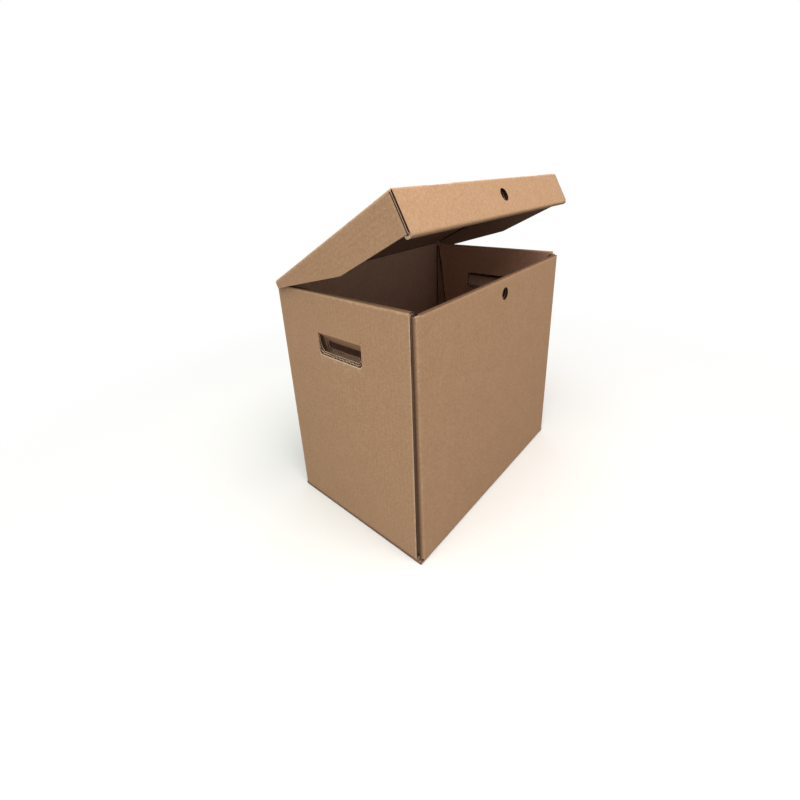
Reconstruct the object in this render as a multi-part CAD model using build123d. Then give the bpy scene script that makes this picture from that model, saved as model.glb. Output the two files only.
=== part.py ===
from build123d import *
import math
import os

# Archive box folded from one die-cut blank of corrugated board. The front faces -Y, +Z is up
# and the origin is the middle of the base. Lengths are millimetres, angles are degrees.

# Board and folds
board = 3.0  # thickness of the corrugated board
fold_radius = 0.5  # inside radius of a right-angle fold
fold_leg = 1.0  # straight board kept beyond a fold, up to the next panel
crease_bead = 0.4  # radius of the liner's bead on a crease that still moves
crease_gap = 0.2  # room round that bead and between mitred edges

# Box
box_width = 385.0
box_depth = 245.0
crease_height = 354.0  # crease of the lid on the back wall, above the floor
lid_seat_room = 1.0  # room between the shut lid and the rolled side edges
front_step = 5.0  # front rolled edge below the side rolled edges
front_corner_step = 1.0  # cut top of the front corner folds below the front rolled edge
back_corner_step = 2.0  # cut top of the back corner folds below the side rolled edges

# Glued corner at the front left
lap_top = 4.8  # left wall's cut edge behind the front face, at the top
lap_bottom = 8.0  # the same at the foot, because the blank was glued a little askew
glue_flap_width = 35.0
glue_flap_taper = 12.0  # slope of the flap's two ends, measured along its height
glue_flap_foot = 14.0  # lower end of the flap above the floor
glue_flap_room = 0.5  # room between the flap and the leaning inner wall

# Turned-in top edges
side_gap = 2.0  # hollow between the two layers at a side wall's rolled edge
side_turn_in = 140.0  # length of the inner side wall below the rolled edge
side_taper = 13.0  # slope of the inner side wall's two ends
side_lean = 7.0  # how far the inner side wall springs inwards
side_edge_front = 7.5  # right rolled edge behind the front face
side_edge_back = 6.0  # side rolled edges before the back face
inner_wall_room = 1.5  # room between a side inner wall and the front inner wall
inner_corner = 12.0  # rounding of an inner wall's lower corners
front_gap = 1.0  # hollow between the two layers at the front wall's rolled edge
front_turn_in = 80.0  # length of the inner front wall below the rolled edge
front_taper = 8.0  # slope of the inner front wall's two ends
front_edge_left = 13.0  # left end of the front rolled edge from the left face
front_edge_right = 4.5  # right end of the front rolled edge from the right face

# Bottom flaps
bottom_slot = 1.5  # front and back flaps stay this far inside the side faces
bottom_seam = 1.0  # joint between the front and back flaps
minor_flap_length = 121.0
minor_flap_room = 1.5  # room between a side flap and the front or back wall

# Hand holes
hand_hole_width = 81.0
hand_hole_height = 28.5
hand_hole_drop = 55.5  # crease of the hand flap below the rolled side edge
hand_hole_corner = 6.0  # rounding of the lower corners
hand_flap_cut = 0.5  # width of the cut round the flap
hand_flap_rest = 45.0  # how far the flaps are pushed in
wall_bevel = 45.0  # crushed edge above the crease, seen from inside
flap_bevel = 32.0  # crushed edge of the flap itself
nick_length = 6.5  # cut that runs on past the crease at each end
nick_width = 1.0
nick_tilt = 25.0
inner_hole_rise = 5.5  # inner wall's hole reaches this far above the crease
inner_hole_margin = 1.0  # inner wall's hole is this much wider at each end
inner_hole_corner = 3.0  # rounding of its upper corners

# Tie holes
tie_hole_diameter = 16.0
tie_hole_offset = 9.0  # to the right of the middle
tie_hole_drop = 23.0  # below the top edge of the front wall and of the lid

# Lid
lid_open = 27.6  # angle at which the lid stands open
lid_side_room = 1.2  # room between a side flap and the side wall
lid_front_room = 1.8  # room between the rolled front and the front wall
ply_gap = 0.1  # room between the layers of the rolled front
lid_front_drop = 50.8  # height of the rolled front
lid_rear_gap = 3.6  # side flaps start this far before the crease
lid_rear_drop = 11.4  # height of a side flap at its rear end
lid_kink_distance = 138.0  # side flap's kink before the crease
lid_kink_drop = 45.0  # height of a side flap at the kink
lid_edge_inset = 1.5  # rolled lower edge ends inside the front panel
lid_inner_room = 1.0  # room between the inner front panel and the side flaps
ear_length = 52.0
ear_foot_room = 0.3  # room between an ear or side flap and the rolled lower edge
ear_top_room = 0.5  # room between an ear and the fold above it
ear_corner = 10.0
lock_tab_width = 48.6
lock_tab_spacing = 230.0
lock_tab_room = 0.4
lock_slit_lip = 1.2  # board left standing in front of a lock slit

# Values worked out from the sizes above
half_width = box_width / 2
half_depth = box_depth / 2
fold_outer = board + fold_radius
fold_reach = fold_outer + fold_leg
side_height = crease_height - board - lid_seat_room
front_height = side_height - front_step
front_corner_top = front_height - front_corner_step
back_corner_top = side_height - back_corner_step
side_top = side_height - fold_reach
side_foot = board + fold_reach
front_top = front_height - fold_reach
side_edge = 2 * board + side_gap
front_edge = 2 * board + front_gap
hand_hole_crease = side_height - hand_hole_drop
hole_foot = hand_hole_crease - hand_hole_height
lid_half = half_width + lid_side_room + board
lid_layers = 3 * board + 2 * ply_gap
lid_front = -half_depth - lid_front_room - lid_layers
lid_foot = crease_height - lid_front_drop
lid_plate = lid_half - fold_reach
lid_rear = half_depth - lid_rear_gap
lid_under = crease_height - board
ear_front = lid_front + board + ply_gap
ear_foot = lid_foot + fold_reach + ear_foot_room
inner_front = lid_front + 2 * (board + ply_gap)
slit_width = lock_tab_width + 2 * lock_tab_room
hinge = Axis((0, half_depth, crease_height), (1, 0, 0))


def prism(face, along, start, stop):
    """Solid of a face drawn across one axis, from one place on that axis to another."""
    if along == "Y":
        return extrude(Plane.XZ.offset(-stop) * face, stop - start)
    plane = Plane.YZ if along == "X" else Plane.XY
    return extrude(plane.offset(start) * face, stop - start)


def outline(*points):
    return make_face(Polyline(*points, close=True))


def rounded(face, axis, end, radius):
    """Face with the corners at its lowest (0) or highest (-1) end along an axis rounded."""
    return fillet(face.vertices().group_by(axis)[end], radius)


def bent_board(points, along, start, stop):
    """Board with right-angle folds: points give the middle of its thickness."""
    middle = FilletPolyline(*points, radius=fold_radius + board / 2)
    return prism(trace(middle, board), along, start, stop)


def block(x, y, z):
    """Box between two places on each axis."""
    size = [max(pair) - min(pair) for pair in (x, y, z)]
    centre = [sum(pair) / 2 for pair in (x, y, z)]
    return Pos(*centre) * Box(*size)


def rod_x(y, z, radius, half_length):
    return Pos(0, y, z) * Rot(0, 90, 0) * Cylinder(radius, 2 * half_length)


def rod_y(x, z, radius, half_length):
    return Pos(x, 0, z) * Rot(90, 0, 0) * Cylinder(radius, 2 * half_length)


def tie_hole(y, z):
    """Round punch through the layers near y."""
    return Pos(tie_hole_offset, y, z) * Rot(90, 0, 0) * Cylinder(tie_hole_diameter / 2, 4 * lid_layers)


def corner_cuts(y):
    """Notches under the two corner folds of a front or back wall, where the bottom slots end."""
    inside = half_width - fold_reach
    depth = (y, y - math.copysign(2 * fold_reach, y))
    return [block((side * inside, side * box_width), depth, (0, side_foot)) for side in (-1, 1)]


def front_wall():
    left = -half_width + 1.5 * board
    right = half_width - board / 2
    face = -half_depth + board / 2
    back = -half_depth + fold_reach
    path = [(left, back), (left, face), (right, face), (right, back)]
    wall = bent_board(path, "Z", fold_reach, front_corner_top)
    edge = (-half_width + front_edge_left, half_width - front_edge_right)
    wall -= block(edge, (-box_depth, 0), (front_top, side_height))
    wall -= corner_cuts(-half_depth)
    return wall - tie_hole(-half_depth, front_height - tie_hole_drop)


def back_wall():
    side = half_width - board / 2
    face = half_depth - board / 2
    front = half_depth - fold_reach
    path = [(-side, front), (-side, face), (side, face), (side, front)]
    wall = bent_board(path, "Z", fold_reach, crease_height)
    flat = half_width - fold_outer
    for sign in (-1, 1):
        above = (back_corner_top, crease_height + board)
        wall -= block((sign * flat, sign * box_width), (0, box_depth), above)
    mitre = outline(
        (half_depth, crease_height),
        (half_depth - board, crease_height),
        (half_depth - board, lid_under - crease_gap),
    )
    wall -= prism(mitre, "X", -half_width, half_width)
    wall -= corner_cuts(half_depth)
    return wall + rod_x(half_depth, crease_height, crease_bead, flat)


def hand_hole_face(margin, top):
    """Hand hole, drawn over Y and Z, with rounded lower corners."""
    half = hand_hole_width / 2 + margin
    face = outline((-half, hole_foot), (half, hole_foot), (half, top), (-half, top))
    return rounded(face, Axis.Y, 0, hand_hole_corner)


def side_wall(front_foot, front_head):
    """Wall on the left, with a hand hole, between two places on its front edge."""
    back = half_depth - fold_reach
    face = outline((front_foot, side_foot), (back, side_foot), (back, side_top), (front_head, side_top))
    face -= hand_hole_face(0, hand_hole_crease)
    wall = prism(face, "X", -half_width, -half_width + board)
    half = hand_hole_width / 2
    crushed = outline(
        (-half_width, hand_hole_crease),
        (-half_width + board, hand_hole_crease),
        (-half_width + board, hand_hole_crease + board * math.tan(math.radians(wall_bevel))),
    )
    wall -= prism(crushed, "Y", -half, half)
    for sign in (-1, 1):
        nick = Pos(-half_width, sign * half, hand_hole_crease) * Rot(-sign * nick_tilt, 0, 0)
        wall -= nick * Pos(0, 0, nick_length / 2) * Box(4 * board, nick_width, nick_length)
    return wall + rod_y(-half_width, hand_hole_crease, crease_bead, half - hand_flap_cut)


def hand_flap():
    """Flap of the left hand hole, pushed in about its crease on the outer liner."""
    half = hand_hole_width / 2 - hand_flap_cut
    foot = hole_foot + hand_flap_cut
    face = outline((-half, foot), (half, foot), (half, hand_hole_crease), (-half, hand_hole_crease))
    face = rounded(face, Axis.Y, 0, hand_hole_corner - hand_flap_cut)
    flap = prism(face, "X", -half_width, -half_width + board)
    crushed = outline(
        (-half_width, hand_hole_crease),
        (-half_width + board, hand_hole_crease),
        (-half_width + board, hand_hole_crease - board * math.tan(math.radians(flap_bevel))),
    )
    flap -= prism(crushed, "Y", -half, half)
    flap -= rod_y(-half_width, hand_hole_crease, crease_bead + crease_gap, hand_hole_width)
    crease = Axis((-half_width, 0, hand_hole_crease), (0, 1, 0))
    return flap.rotate(crease, -hand_flap_rest)


def side_top_edge(front):
    """Rolled top edge of the left wall, from its front end to the back."""
    outer = -half_width + board / 2
    inner = -half_width + side_edge - board / 2
    level = side_height - board / 2
    path = [(outer, side_top), (outer, level), (inner, level), (inner, side_top)]
    return bent_board(path, "Y", front, half_depth - side_edge_back)


def side_inner_wall():
    """Turned-in layer of the left wall, tapered, leaning inwards and open at the hand hole."""
    lean = math.radians(side_lean)
    origin = (-half_width + board + side_gap, 0, side_top)
    plane = Plane(origin, x_dir=(0, 1, 0), z_dir=(math.cos(lean), 0, math.sin(lean)))
    top = half_depth - front_edge - inner_wall_room
    foot = top - side_turn_in * math.tan(math.radians(side_taper))
    face = outline((-top, 0), (top, 0), (foot, -side_turn_in), (-foot, -side_turn_in))
    face = rounded(face, Axis.Y, 0, inner_corner)
    half = hand_hole_width / 2 + inner_hole_margin
    low = (hole_foot - side_top) / math.cos(lean)
    high = (hand_hole_crease + inner_hole_rise - side_top) / math.cos(lean)
    hole = outline((-half, low), (half, low), (half, high), (-half, high))
    hole = rounded(hole, Axis.Y, 0, hand_hole_corner)
    hole = rounded(hole, Axis.Y, -1, inner_hole_corner)
    return extrude(plane * (face - hole), board, dir=(1, 0, 0))


def glue_flap():
    """Flap behind the left wall that closes the tube, cut back where the inner wall comes close."""
    front = -half_depth + fold_reach
    back = front + glue_flap_width
    tight = board + glue_flap_room - side_gap
    head = side_top - max(tight, 0) / math.tan(math.radians(side_lean))
    face = outline(
        (front, glue_flap_foot),
        (back, glue_flap_foot + glue_flap_taper),
        (back, head - glue_flap_taper),
        (front, head),
    )
    return prism(face, "X", -half_width + board, -half_width + 2 * board)


def front_top_edge():
    outer = -half_depth + board / 2
    inner = -half_depth + front_edge - board / 2
    level = front_height - board / 2
    path = [(outer, front_top), (outer, level), (inner, level), (inner, front_top)]
    return bent_board(path, "X", -half_width + front_edge_left, half_width - front_edge_right)


def front_inner_wall():
    """Turned-in layer of the front wall, with the tie hole punched through it."""
    left = -half_width + front_edge_left
    right = half_width - front_edge_right
    foot = front_top - front_turn_in
    slope = front_turn_in * math.tan(math.radians(front_taper))
    face = outline((left, front_top), (right, front_top), (right - slope, foot), (left + slope, foot))
    face = rounded(face, Axis.Y, 0, inner_corner)
    inner = -half_depth + front_edge
    wall = prism(face, "Y", inner - board, inner)
    return wall - tie_hole(-half_depth, front_height - tie_hole_drop)


def bottom_front_flap():
    face = -half_depth + board / 2
    path = [(face, fold_reach), (face, board / 2), (-bottom_seam / 2, board / 2)]
    return bent_board(path, "X", -half_width + bottom_slot, half_width - bottom_slot)


def bottom_side_flap():
    """Left flap, one board higher than the front and back flaps that close over it."""
    face = -half_width + board / 2
    level = 1.5 * board
    half = half_depth - board - minor_flap_room
    path = [(face, side_foot), (face, level), (-half_width + minor_flap_length, level)]
    return bent_board(path, "Y", -half, half)


def lock_slits():
    """Cuts in the lid's front crease for the lock tabs of the inner front panel."""
    depth = (lid_front + lock_slit_lip, inner_front + board + lock_tab_room)
    height = (lid_under - lock_tab_room, crease_height + board)
    for side in (-1, 1):
        middle = side * lock_tab_spacing / 2
        yield block((middle - slit_width / 2, middle + slit_width / 2), depth, height)


def lid_top():
    rear = half_width - fold_outer
    front = lid_front + fold_reach
    face = outline(
        (-rear, half_depth),
        (rear, half_depth),
        (rear, lid_rear),
        (lid_plate, lid_rear),
        (lid_plate, front),
        (-lid_plate, front),
        (-lid_plate, lid_rear),
        (-rear, lid_rear),
    )
    top = prism(face, "Z", lid_under, crease_height)
    mitre = outline(
        (half_depth, crease_height),
        (half_depth, lid_under),
        (half_depth - board - crease_gap, lid_under),
    )
    top -= prism(mitre, "X", -half_width, half_width)
    top -= rod_x(half_depth, crease_height, crease_bead + crease_gap, half_width)
    return top - list(lock_slits())


def lid_side_flap():
    """Left flap of the lid: shallow at the hinge, sloping down to a kink, then almost level."""
    level = crease_height - board / 2
    outer = -lid_half + board / 2
    path = [(-lid_plate, level), (outer, level), (outer, lid_foot)]
    flap = bent_board(path, "Y", ear_front, lid_rear)
    kept = outline(
        (lid_rear, crease_height),
        (lid_rear, crease_height - lid_rear_drop),
        (half_depth - lid_kink_distance, crease_height - lid_kink_drop),
        (ear_front, ear_foot),
        (ear_front, crease_height),
    )
    flap &= prism(kept, "X", -lid_half, 0)
    below = (lid_foot - board, crease_height - fold_reach)
    return flap - block((-2 * lid_half, 0), (ear_front - board, ear_front + fold_reach), below)


def lid_ear():
    """Left ear, folded in behind the front panel from the side flap."""
    outer = -lid_half + board / 2
    middle = ear_front + board / 2
    path = [(outer, ear_front + fold_reach), (outer, middle), (-lid_half + ear_length, middle)]
    ear = bent_board(path, "Z", ear_foot, crease_height - fold_reach - ear_top_room)
    return fillet(ear.edges().filter_by(Axis.Y).group_by(Axis.X)[-1], ear_corner)


def lid_front_flap():
    level = crease_height - board / 2
    outer = lid_front + board / 2
    path = [(lid_front + fold_reach, level), (outer, level), (outer, lid_foot + fold_reach)]
    flap = bent_board(path, "X", -lid_half, lid_half)
    for sign in (-1, 1):
        above = (crease_height - fold_reach, crease_height + board)
        flap -= block((sign * lid_plate, sign * box_width), (2 * lid_front, 0), above)
    flap -= list(lock_slits())
    return flap - tie_hole(lid_front, crease_height - tie_hole_drop)


def lid_front_edge():
    """Rolled lower edge that joins the two layers of the lid's front."""
    outer = lid_front + board / 2
    inner = inner_front + board / 2
    low = lid_foot + board / 2
    high = lid_foot + fold_reach
    path = [(outer, high), (outer, low), (inner, low), (inner, high)]
    half = lid_half - lid_edge_inset
    return bent_board(path, "X", -half, half)


def lid_front_inner():
    """Inner layer of the lid's front, with the tabs that lock into the lid's crease."""
    half = lid_half - board - lid_inner_room
    foot = lid_foot + fold_reach
    head = lid_under - lock_tab_room
    face = outline((-half, foot), (half, foot), (half, head), (-half, head))
    for side in (-1, 1):
        left = side * lock_tab_spacing / 2 - lock_tab_width / 2
        right = left + lock_tab_width
        tab = outline((left, head), (right, head), (right, crease_height), (left, crease_height))
        face += rounded(tab, Axis.Y, -1, board / 2)
    layer = prism(face, "Y", inner_front, inner_front + board)
    return layer - tie_hole(lid_front, crease_height - tie_hole_drop)


def mirrored(solid):
    return mirror(solid, about=Plane.YZ)


def box_parts():
    fold_end = -half_depth + fold_reach
    left_edge = side_top_edge(-half_depth + lap_top)
    inner = side_inner_wall()
    minor = bottom_side_flap()
    major = bottom_front_flap()
    return {
        "front_wall": front_wall(),
        "back_wall": back_wall(),
        "left_wall": side_wall(-half_depth + lap_bottom, -half_depth + lap_top),
        "right_wall": mirrored(side_wall(fold_end, fold_end)),
        "glue_flap": glue_flap(),
        "front_top_edge": front_top_edge(),
        "front_inner_wall": front_inner_wall(),
        "left_top_edge": left_edge,
        "left_inner_wall": inner,
        "right_top_edge": mirrored(side_top_edge(-half_depth + side_edge_front)),
        "right_inner_wall": mirrored(inner),
        "bottom_front_flap": major,
        "bottom_back_flap": mirror(major, about=Plane.XZ),
        "bottom_left_flap": minor,
        "bottom_right_flap": mirrored(minor),
        "left_hand_flap": hand_flap(),
        "right_hand_flap": mirrored(hand_flap()),
    }


def lid_parts():
    """Lid pieces, drawn closed and then turned open about the crease."""
    side = lid_side_flap()
    ear = lid_ear()
    closed = {
        "lid_top": lid_top(),
        "lid_left_flap": side,
        "lid_right_flap": mirrored(side),
        "lid_left_ear": ear,
        "lid_right_ear": mirrored(ear),
        "lid_front_flap": lid_front_flap(),
        "lid_front_edge": lid_front_edge(),
        "lid_front_inner": lid_front_inner(),
    }
    return {name: solid.rotate(hinge, -lid_open) for name, solid in closed.items()}


os.makedirs("parts", exist_ok=True)
for name, solid in {**box_parts(), **lid_parts()}.items():
    export_step(solid, f"parts/{name}.step")
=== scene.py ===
"""Archive box of corrugated board: every panel as two liners and a fluted medium, with a plain studio."""

import math
from types import SimpleNamespace

import bmesh
import bpy
import numpy as np
from bpy.props import FloatProperty, FloatVectorProperty, PointerProperty, StringProperty
from bpy.types import Operator, Panel, PropertyGroup
from mathutils import Matrix


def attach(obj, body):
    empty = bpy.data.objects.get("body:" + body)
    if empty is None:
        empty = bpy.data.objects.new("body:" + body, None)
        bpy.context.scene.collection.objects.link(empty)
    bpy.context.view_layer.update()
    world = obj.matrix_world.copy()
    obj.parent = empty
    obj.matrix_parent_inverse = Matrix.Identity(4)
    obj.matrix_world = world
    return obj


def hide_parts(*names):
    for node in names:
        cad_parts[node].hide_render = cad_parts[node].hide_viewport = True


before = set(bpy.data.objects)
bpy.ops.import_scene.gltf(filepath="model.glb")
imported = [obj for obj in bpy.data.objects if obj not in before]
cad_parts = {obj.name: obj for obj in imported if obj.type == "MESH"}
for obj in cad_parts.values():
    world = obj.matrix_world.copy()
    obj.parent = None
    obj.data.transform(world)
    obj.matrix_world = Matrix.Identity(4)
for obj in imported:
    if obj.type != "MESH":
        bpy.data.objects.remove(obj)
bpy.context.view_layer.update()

bl_info = {
    "name": "Archive box",
    "version": (1, 0, 0),
    "blender": (4, 5, 0),
    "location": "3D View > Sidebar > Archive box",
    "description": "Builds a corrugated archive box board by board and sets up a studio for it",
    "category": "Add Mesh",
}

MM = 0.001
# Layers of the board, and the torn edge of its liners, in the order of their papers
OUTER_LINER, FLUTING, INNER_LINER, TORN_EDGE = range(4)

# Fineness of the meshes: columns per flute in a liner and in the medium, steps round a fold, a corner,
# half a tie hole and a bead, and steps along the left wall's slanted cut and a lid flap's slanted edges
LINER_STEPS = 2
MEDIUM_STEPS = 8
FOLD_STEPS = 6
CORNER_STEPS = 6
TIE_STEPS = 16
BEAD_SIDES = 12
CUT_STEPS = 6
SLANT_STEPS = 8
# Rows along a run of a bent board, decimals of a column's place, distance within which points are merged,
# and angle from which an edge is sharp
RUN_ROWS = 2
DECIMALS = 7
WELD = 0.001 * MM
SHARP = math.radians(40)
# Keeps the upper end of a slanted cut from closing to a point
SLIVER = 0.0001 * MM

# Waves per flute and their phases in a ragged cut
FRAY_WAVES = ((3.1, 0), (1.3, 1))
# Soft lower corners of a tapered flap: width as a share of the rounding, rise as a share of the width
SOFT_WIDTH = 1 / 3
SOFT_RISE = 0.35
# Share of the lid's front fold that is cut off at its slits and ends
LIP_SHARE = 0.6

# Tones of the paper: 0 is plain, -1 as dark as the painted-shade colour, 1 as pale as a torn cut. Larger
# ones reach further. Tones below zero are painted shade.
# Painted shade in the hollows between the flutes
HOLLOW_SHADE_TONE = -0.85
FRAY_TONE = 0.7
# Painted shade round the cut of a tie hole
TIE_HOLE_SHADE_TONE = -1.8
# Painted shade in the groove along a crease
GROOVE_SHADE_TONE = -1.0
# Painted shade in the back wall's inside corners
CORNER_SHADE_TONE = -0.9
# Painted shade on the glue flap where it shows in the recess behind the left wall's cut edge
GLUE_FLAP_SHADE_TONE = -0.8
# Painted shade on the top and inner fold of a rolled edge
ROLLED_TOP_SHADE_TONE = -0.75
# Paler outer fold of the left rolled edge: stretched paper with painted highlight
LEFT_ROLL_HIGHLIGHT_TONE = 0.4
RAW_TONE = 0.7
# Painted shade on the inner layers at the left wall's cut edge, in its hollow flutes
RAW_EDGE_PAINTED_SHADE = -0.9
TORN_TONES = (2.2, 0.3)
# Painted shadow line along the slanted ends of an inner side wall
SLANT_SHADOW_TONE = -1.4
# Painted shade over the underside of the lid
UNDER_LID_SHADE_TONE = -0.4
# Painted shade on the inner liner inside the fold of a lid side flap
LID_FOLD_SHADE_TONE = -1.2
LID_TORN_TONE = 1.1
# Painted shade in the groove at the ends of the lid's front panel
LID_CORNER_SHADE_TONE = -1.3
WALL_CUT_TONE = 0.3
INNER_CUT_TONE = 0.5
FLAP_CUT_TONE = 0.4
# Painted shade along the cut edges of the bottom flaps, at the foot of the box
BOTTOM_CUT_SHADE_TONE = -0.45
# Tones along a path, at places counted in its runs and folds
JOINT_PLACES = (0, 1, 1.5, 1.75, 2)
# Painted shade in the recess of the glue joint, from the hidden leg over the fold, then a painted highlight
# where the fold meets the front face
JOINT_SHADE_AND_HIGHLIGHT_TONES = (-0.9, -0.75, -0.4, 0.0, 0.4, 0.0)
ROLLED_PLACES = (0, 1, 1.25, 1.55, 5)
EAR_PLACES = (1, 1.3, 1.5, 2)
# Slightly paler where the ear's fold starts, then painted shade in the narrow valley behind the front panel
EAR_FOLD_SHADE_TONES = (0.0, 0.2, -0.95, -1.0)
# Tones at the start of a path, at both ends of its first fold and past it: paler stretched paper with
# painted highlight over the lid's folds
SIDE_FOLD_PALE_AND_HIGHLIGHT_TONES = (0.1, 0.4, 0.3, 0.0)
FRONT_FOLD_PALE_AND_HIGHLIGHT_TONES = (0.1, 0.3, 0.2, 0.0)

# Sizes of the paper's pattern. Real fibres are a few hundredths of a millimetre wide and would not show, so
# the fibres are drawn coarser than real.
CLOUD_SIZE = 30 * MM
CLUMP_SIZE = 4 * MM
FIBRE_SIZE = 1.8 * MM
# Fineness, weights and ranges of the pattern, the flutes that show through, the relief and the gloss
CLOUD_DETAIL = 3.0
FINE_DETAIL = 2.0
CLOUD_WEIGHT = 0.4
FIBRE_WEIGHT = 1.6
MOTTLE_RANGE = (1.1, 1.9)
PALE_RANGE = (0.1, 0.6)
OUTER_WASHBOARD = 0.06
INNER_WASHBOARD = 0.10
RIDGE_RELIEF = 0.25
BUMP_STRENGTH = 0.25
BUMP_HEIGHT = 0.4 * MM
PAPER_ROUGHNESS = 0.86
PAPER_IOR = 1.47
PAPER_SPECULAR = 0.25

# Colour of the sky and of the far floor, width of the camera's sensor in millimetres, and its nearest view
WHITE = (1.0, 1.0, 1.0, 1.0)
SENSOR_WIDTH = 36.0
CLIP_START = 10 * MM


def length(mm, name, text):
    """Length property with a default in millimetres."""
    return FloatProperty(name=name, description=text, default=mm * MM, unit="LENGTH", precision=5)


def angle(degrees, name, text):
    """Angle property with a default in degrees."""
    return FloatProperty(name=name, description=text, default=math.radians(degrees), subtype="ANGLE")


def power(watts, name, text):
    """Power property of a light."""
    return FloatProperty(name=name, description=text, default=watts, unit="POWER")


def colour(value, name, text):
    """Colour property that holds an sRGB hex value."""
    return StringProperty(name=name, description=text, default=value)


class BoardSizes(PropertyGroup):
    """Make-up of the corrugated board and its folds."""

    board: length(3.0, "Board", "Thickness of the board")
    liner: length(0.45, "Liner", "Thickness of a liner, more than real so that cut edges show it")
    medium: length(0.6, "Medium", "Thickness of the fluted paper, more than real so that cut edges show it")
    glue: length(0.01, "Glue line", "Room for glue between the flutes and the liners")
    pitch: length(6.4, "Flute pitch", "Distance from one flute to the next")
    fold_radius: length(0.5, "Fold radius", "Inside radius of a fold")
    fold_leg: length(1.0, "Fold leg", "Straight board beyond a fold")
    bow: length(0.7, "Bow", "How far a large panel bulges")
    rim: length(1.2, "Rim", "Width over which the paper's tone changes towards a cut or a fold")
    pressed: length(2.4, "Pressed end", "Width over which the ends of some rolled edges are pressed solid")
    bead: length(0.4, "Crease bead", "Radius of the pressed paper along a crease that moves")


class BoxSizes(PropertyGroup):
    """Tube, rolled edges, inner walls and bottom."""

    width: length(385.0, "Width", "Across the front")
    depth: length(245.0, "Depth", "Front to back")
    crease: length(354.0, "Crease height", "Crease of the lid above the floor")
    seat_room: length(1.0, "Seat room", "Room between the shut lid and the side edges")
    front_step: length(5.0, "Front step", "Front edge below the side edges")
    front_corner_step: length(1.0, "Front corner step", "Cut corner folds below the front edge")
    lap_top: length(4.8, "Lap at the top", "Left wall's cut edge behind the front face")
    lap_bottom: length(8.0, "Lap at the foot", "Left wall's cut edge behind the front face")
    glue_width: length(35.0, "Glue flap", "Width of the glue flap")
    glue_taper: length(12.0, "Glue flap taper", "Slope of the glue flap's ends")
    glue_foot: length(14.0, "Glue flap foot", "Lower end of the glue flap")
    glue_room: length(0.5, "Glue flap room", "Room between glue flap and inner wall")
    side_gap: length(2.0, "Side gap", "Hollow between the layers of a side edge")
    side_turn_in: length(140.0, "Side turn-in", "Length of an inner side wall")
    side_taper: angle(13.0, "Side taper", "Slope of an inner side wall's ends")
    side_lean: angle(7.0, "Side lean", "How far an inner side wall springs inwards")
    side_edge_front: length(7.5, "Right edge front", "Right rolled edge behind the front face")
    inner_room: length(1.5, "Inner room", "Room between inner side and front walls")
    inner_corner: length(12.0, "Inner corner", "Rounding of the inner walls' lower corners")
    inner_lift: length(3.0, "Inner lift", "Foot of the right inner wall's hole above the outer hole's")
    front_gap: length(1.0, "Front gap", "Hollow between the layers of the front edge")
    front_turn_in: length(80.0, "Front turn-in", "Length of the inner front wall")
    front_taper: angle(8.0, "Front taper", "Slope of the inner front wall's ends")
    front_edge_left: length(13.0, "Front edge left", "Left end of the front rolled edge")
    front_edge_right: length(4.5, "Front edge right", "Right end of the front rolled edge")
    bottom_slot: length(0.5, "Bottom slot", "Front and back flaps inside the side faces")
    bottom_seam: length(1.0, "Bottom seam", "Joint between the front and back flaps")
    minor_length: length(121.0, "Side flap", "Length of the bottom's side flaps")
    minor_room: length(1.5, "Side flap room", "Room at the ends of the bottom's side flaps")


class HoleSizes(PropertyGroup):
    """Hand holes and tie holes."""

    hand_width: length(81.0, "Hand hole width", "Along the side wall")
    hand_height: length(31.0, "Hand hole height", "From the cut foot to the crease")
    hand_drop: length(55.5, "Hand hole drop", "Crease of the flap below the side edge")
    hand_corner: length(6.0, "Hand hole corner", "Rounding of the lower corners")
    hand_cut: length(0.5, "Hand flap cut", "Cut between flap and wall")
    hand_slant: length(4.5, "Hand hole slant", "Inner liner past the outer one at the cut")
    hand_fray: length(0.5, "Hand hole fray", "How ragged the crushed layers are at the cut")
    hand_rest: angle(45.0, "Hand flap angle", "How far the flaps are pushed in")
    wall_bevel: angle(45.0, "Wall bevel", "Crushed edge above the crease")
    flap_bevel: angle(32.0, "Flap bevel", "Crushed edge of the flap")
    nick_length: length(6.5, "Nick length", "Slits at the upper corners of a hand hole")
    nick_width: length(0.6, "Nick width", "Width of the slits")
    nick_tilt: angle(25.0, "Nick tilt", "Slant of the slits")
    inner_slant: length(2.5, "Inner hole slant", "Slant of the foot of an inner wall's hole")
    inner_rise: length(5.5, "Inner hole rise", "Inner wall's hole above the crease")
    inner_margin: length(1.0, "Inner hole margin", "Inner wall's hole wider at each end")
    inner_rounding: length(3.0, "Inner hole corner", "Rounding of the upper corners")
    tie_diameter: length(16.0, "Tie hole", "Diameter of the tie holes")
    tie_offset: length(9.0, "Tie hole offset", "To the right of the middle")
    tie_drop: length(23.0, "Tie hole drop", "Below the top edge")


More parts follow.
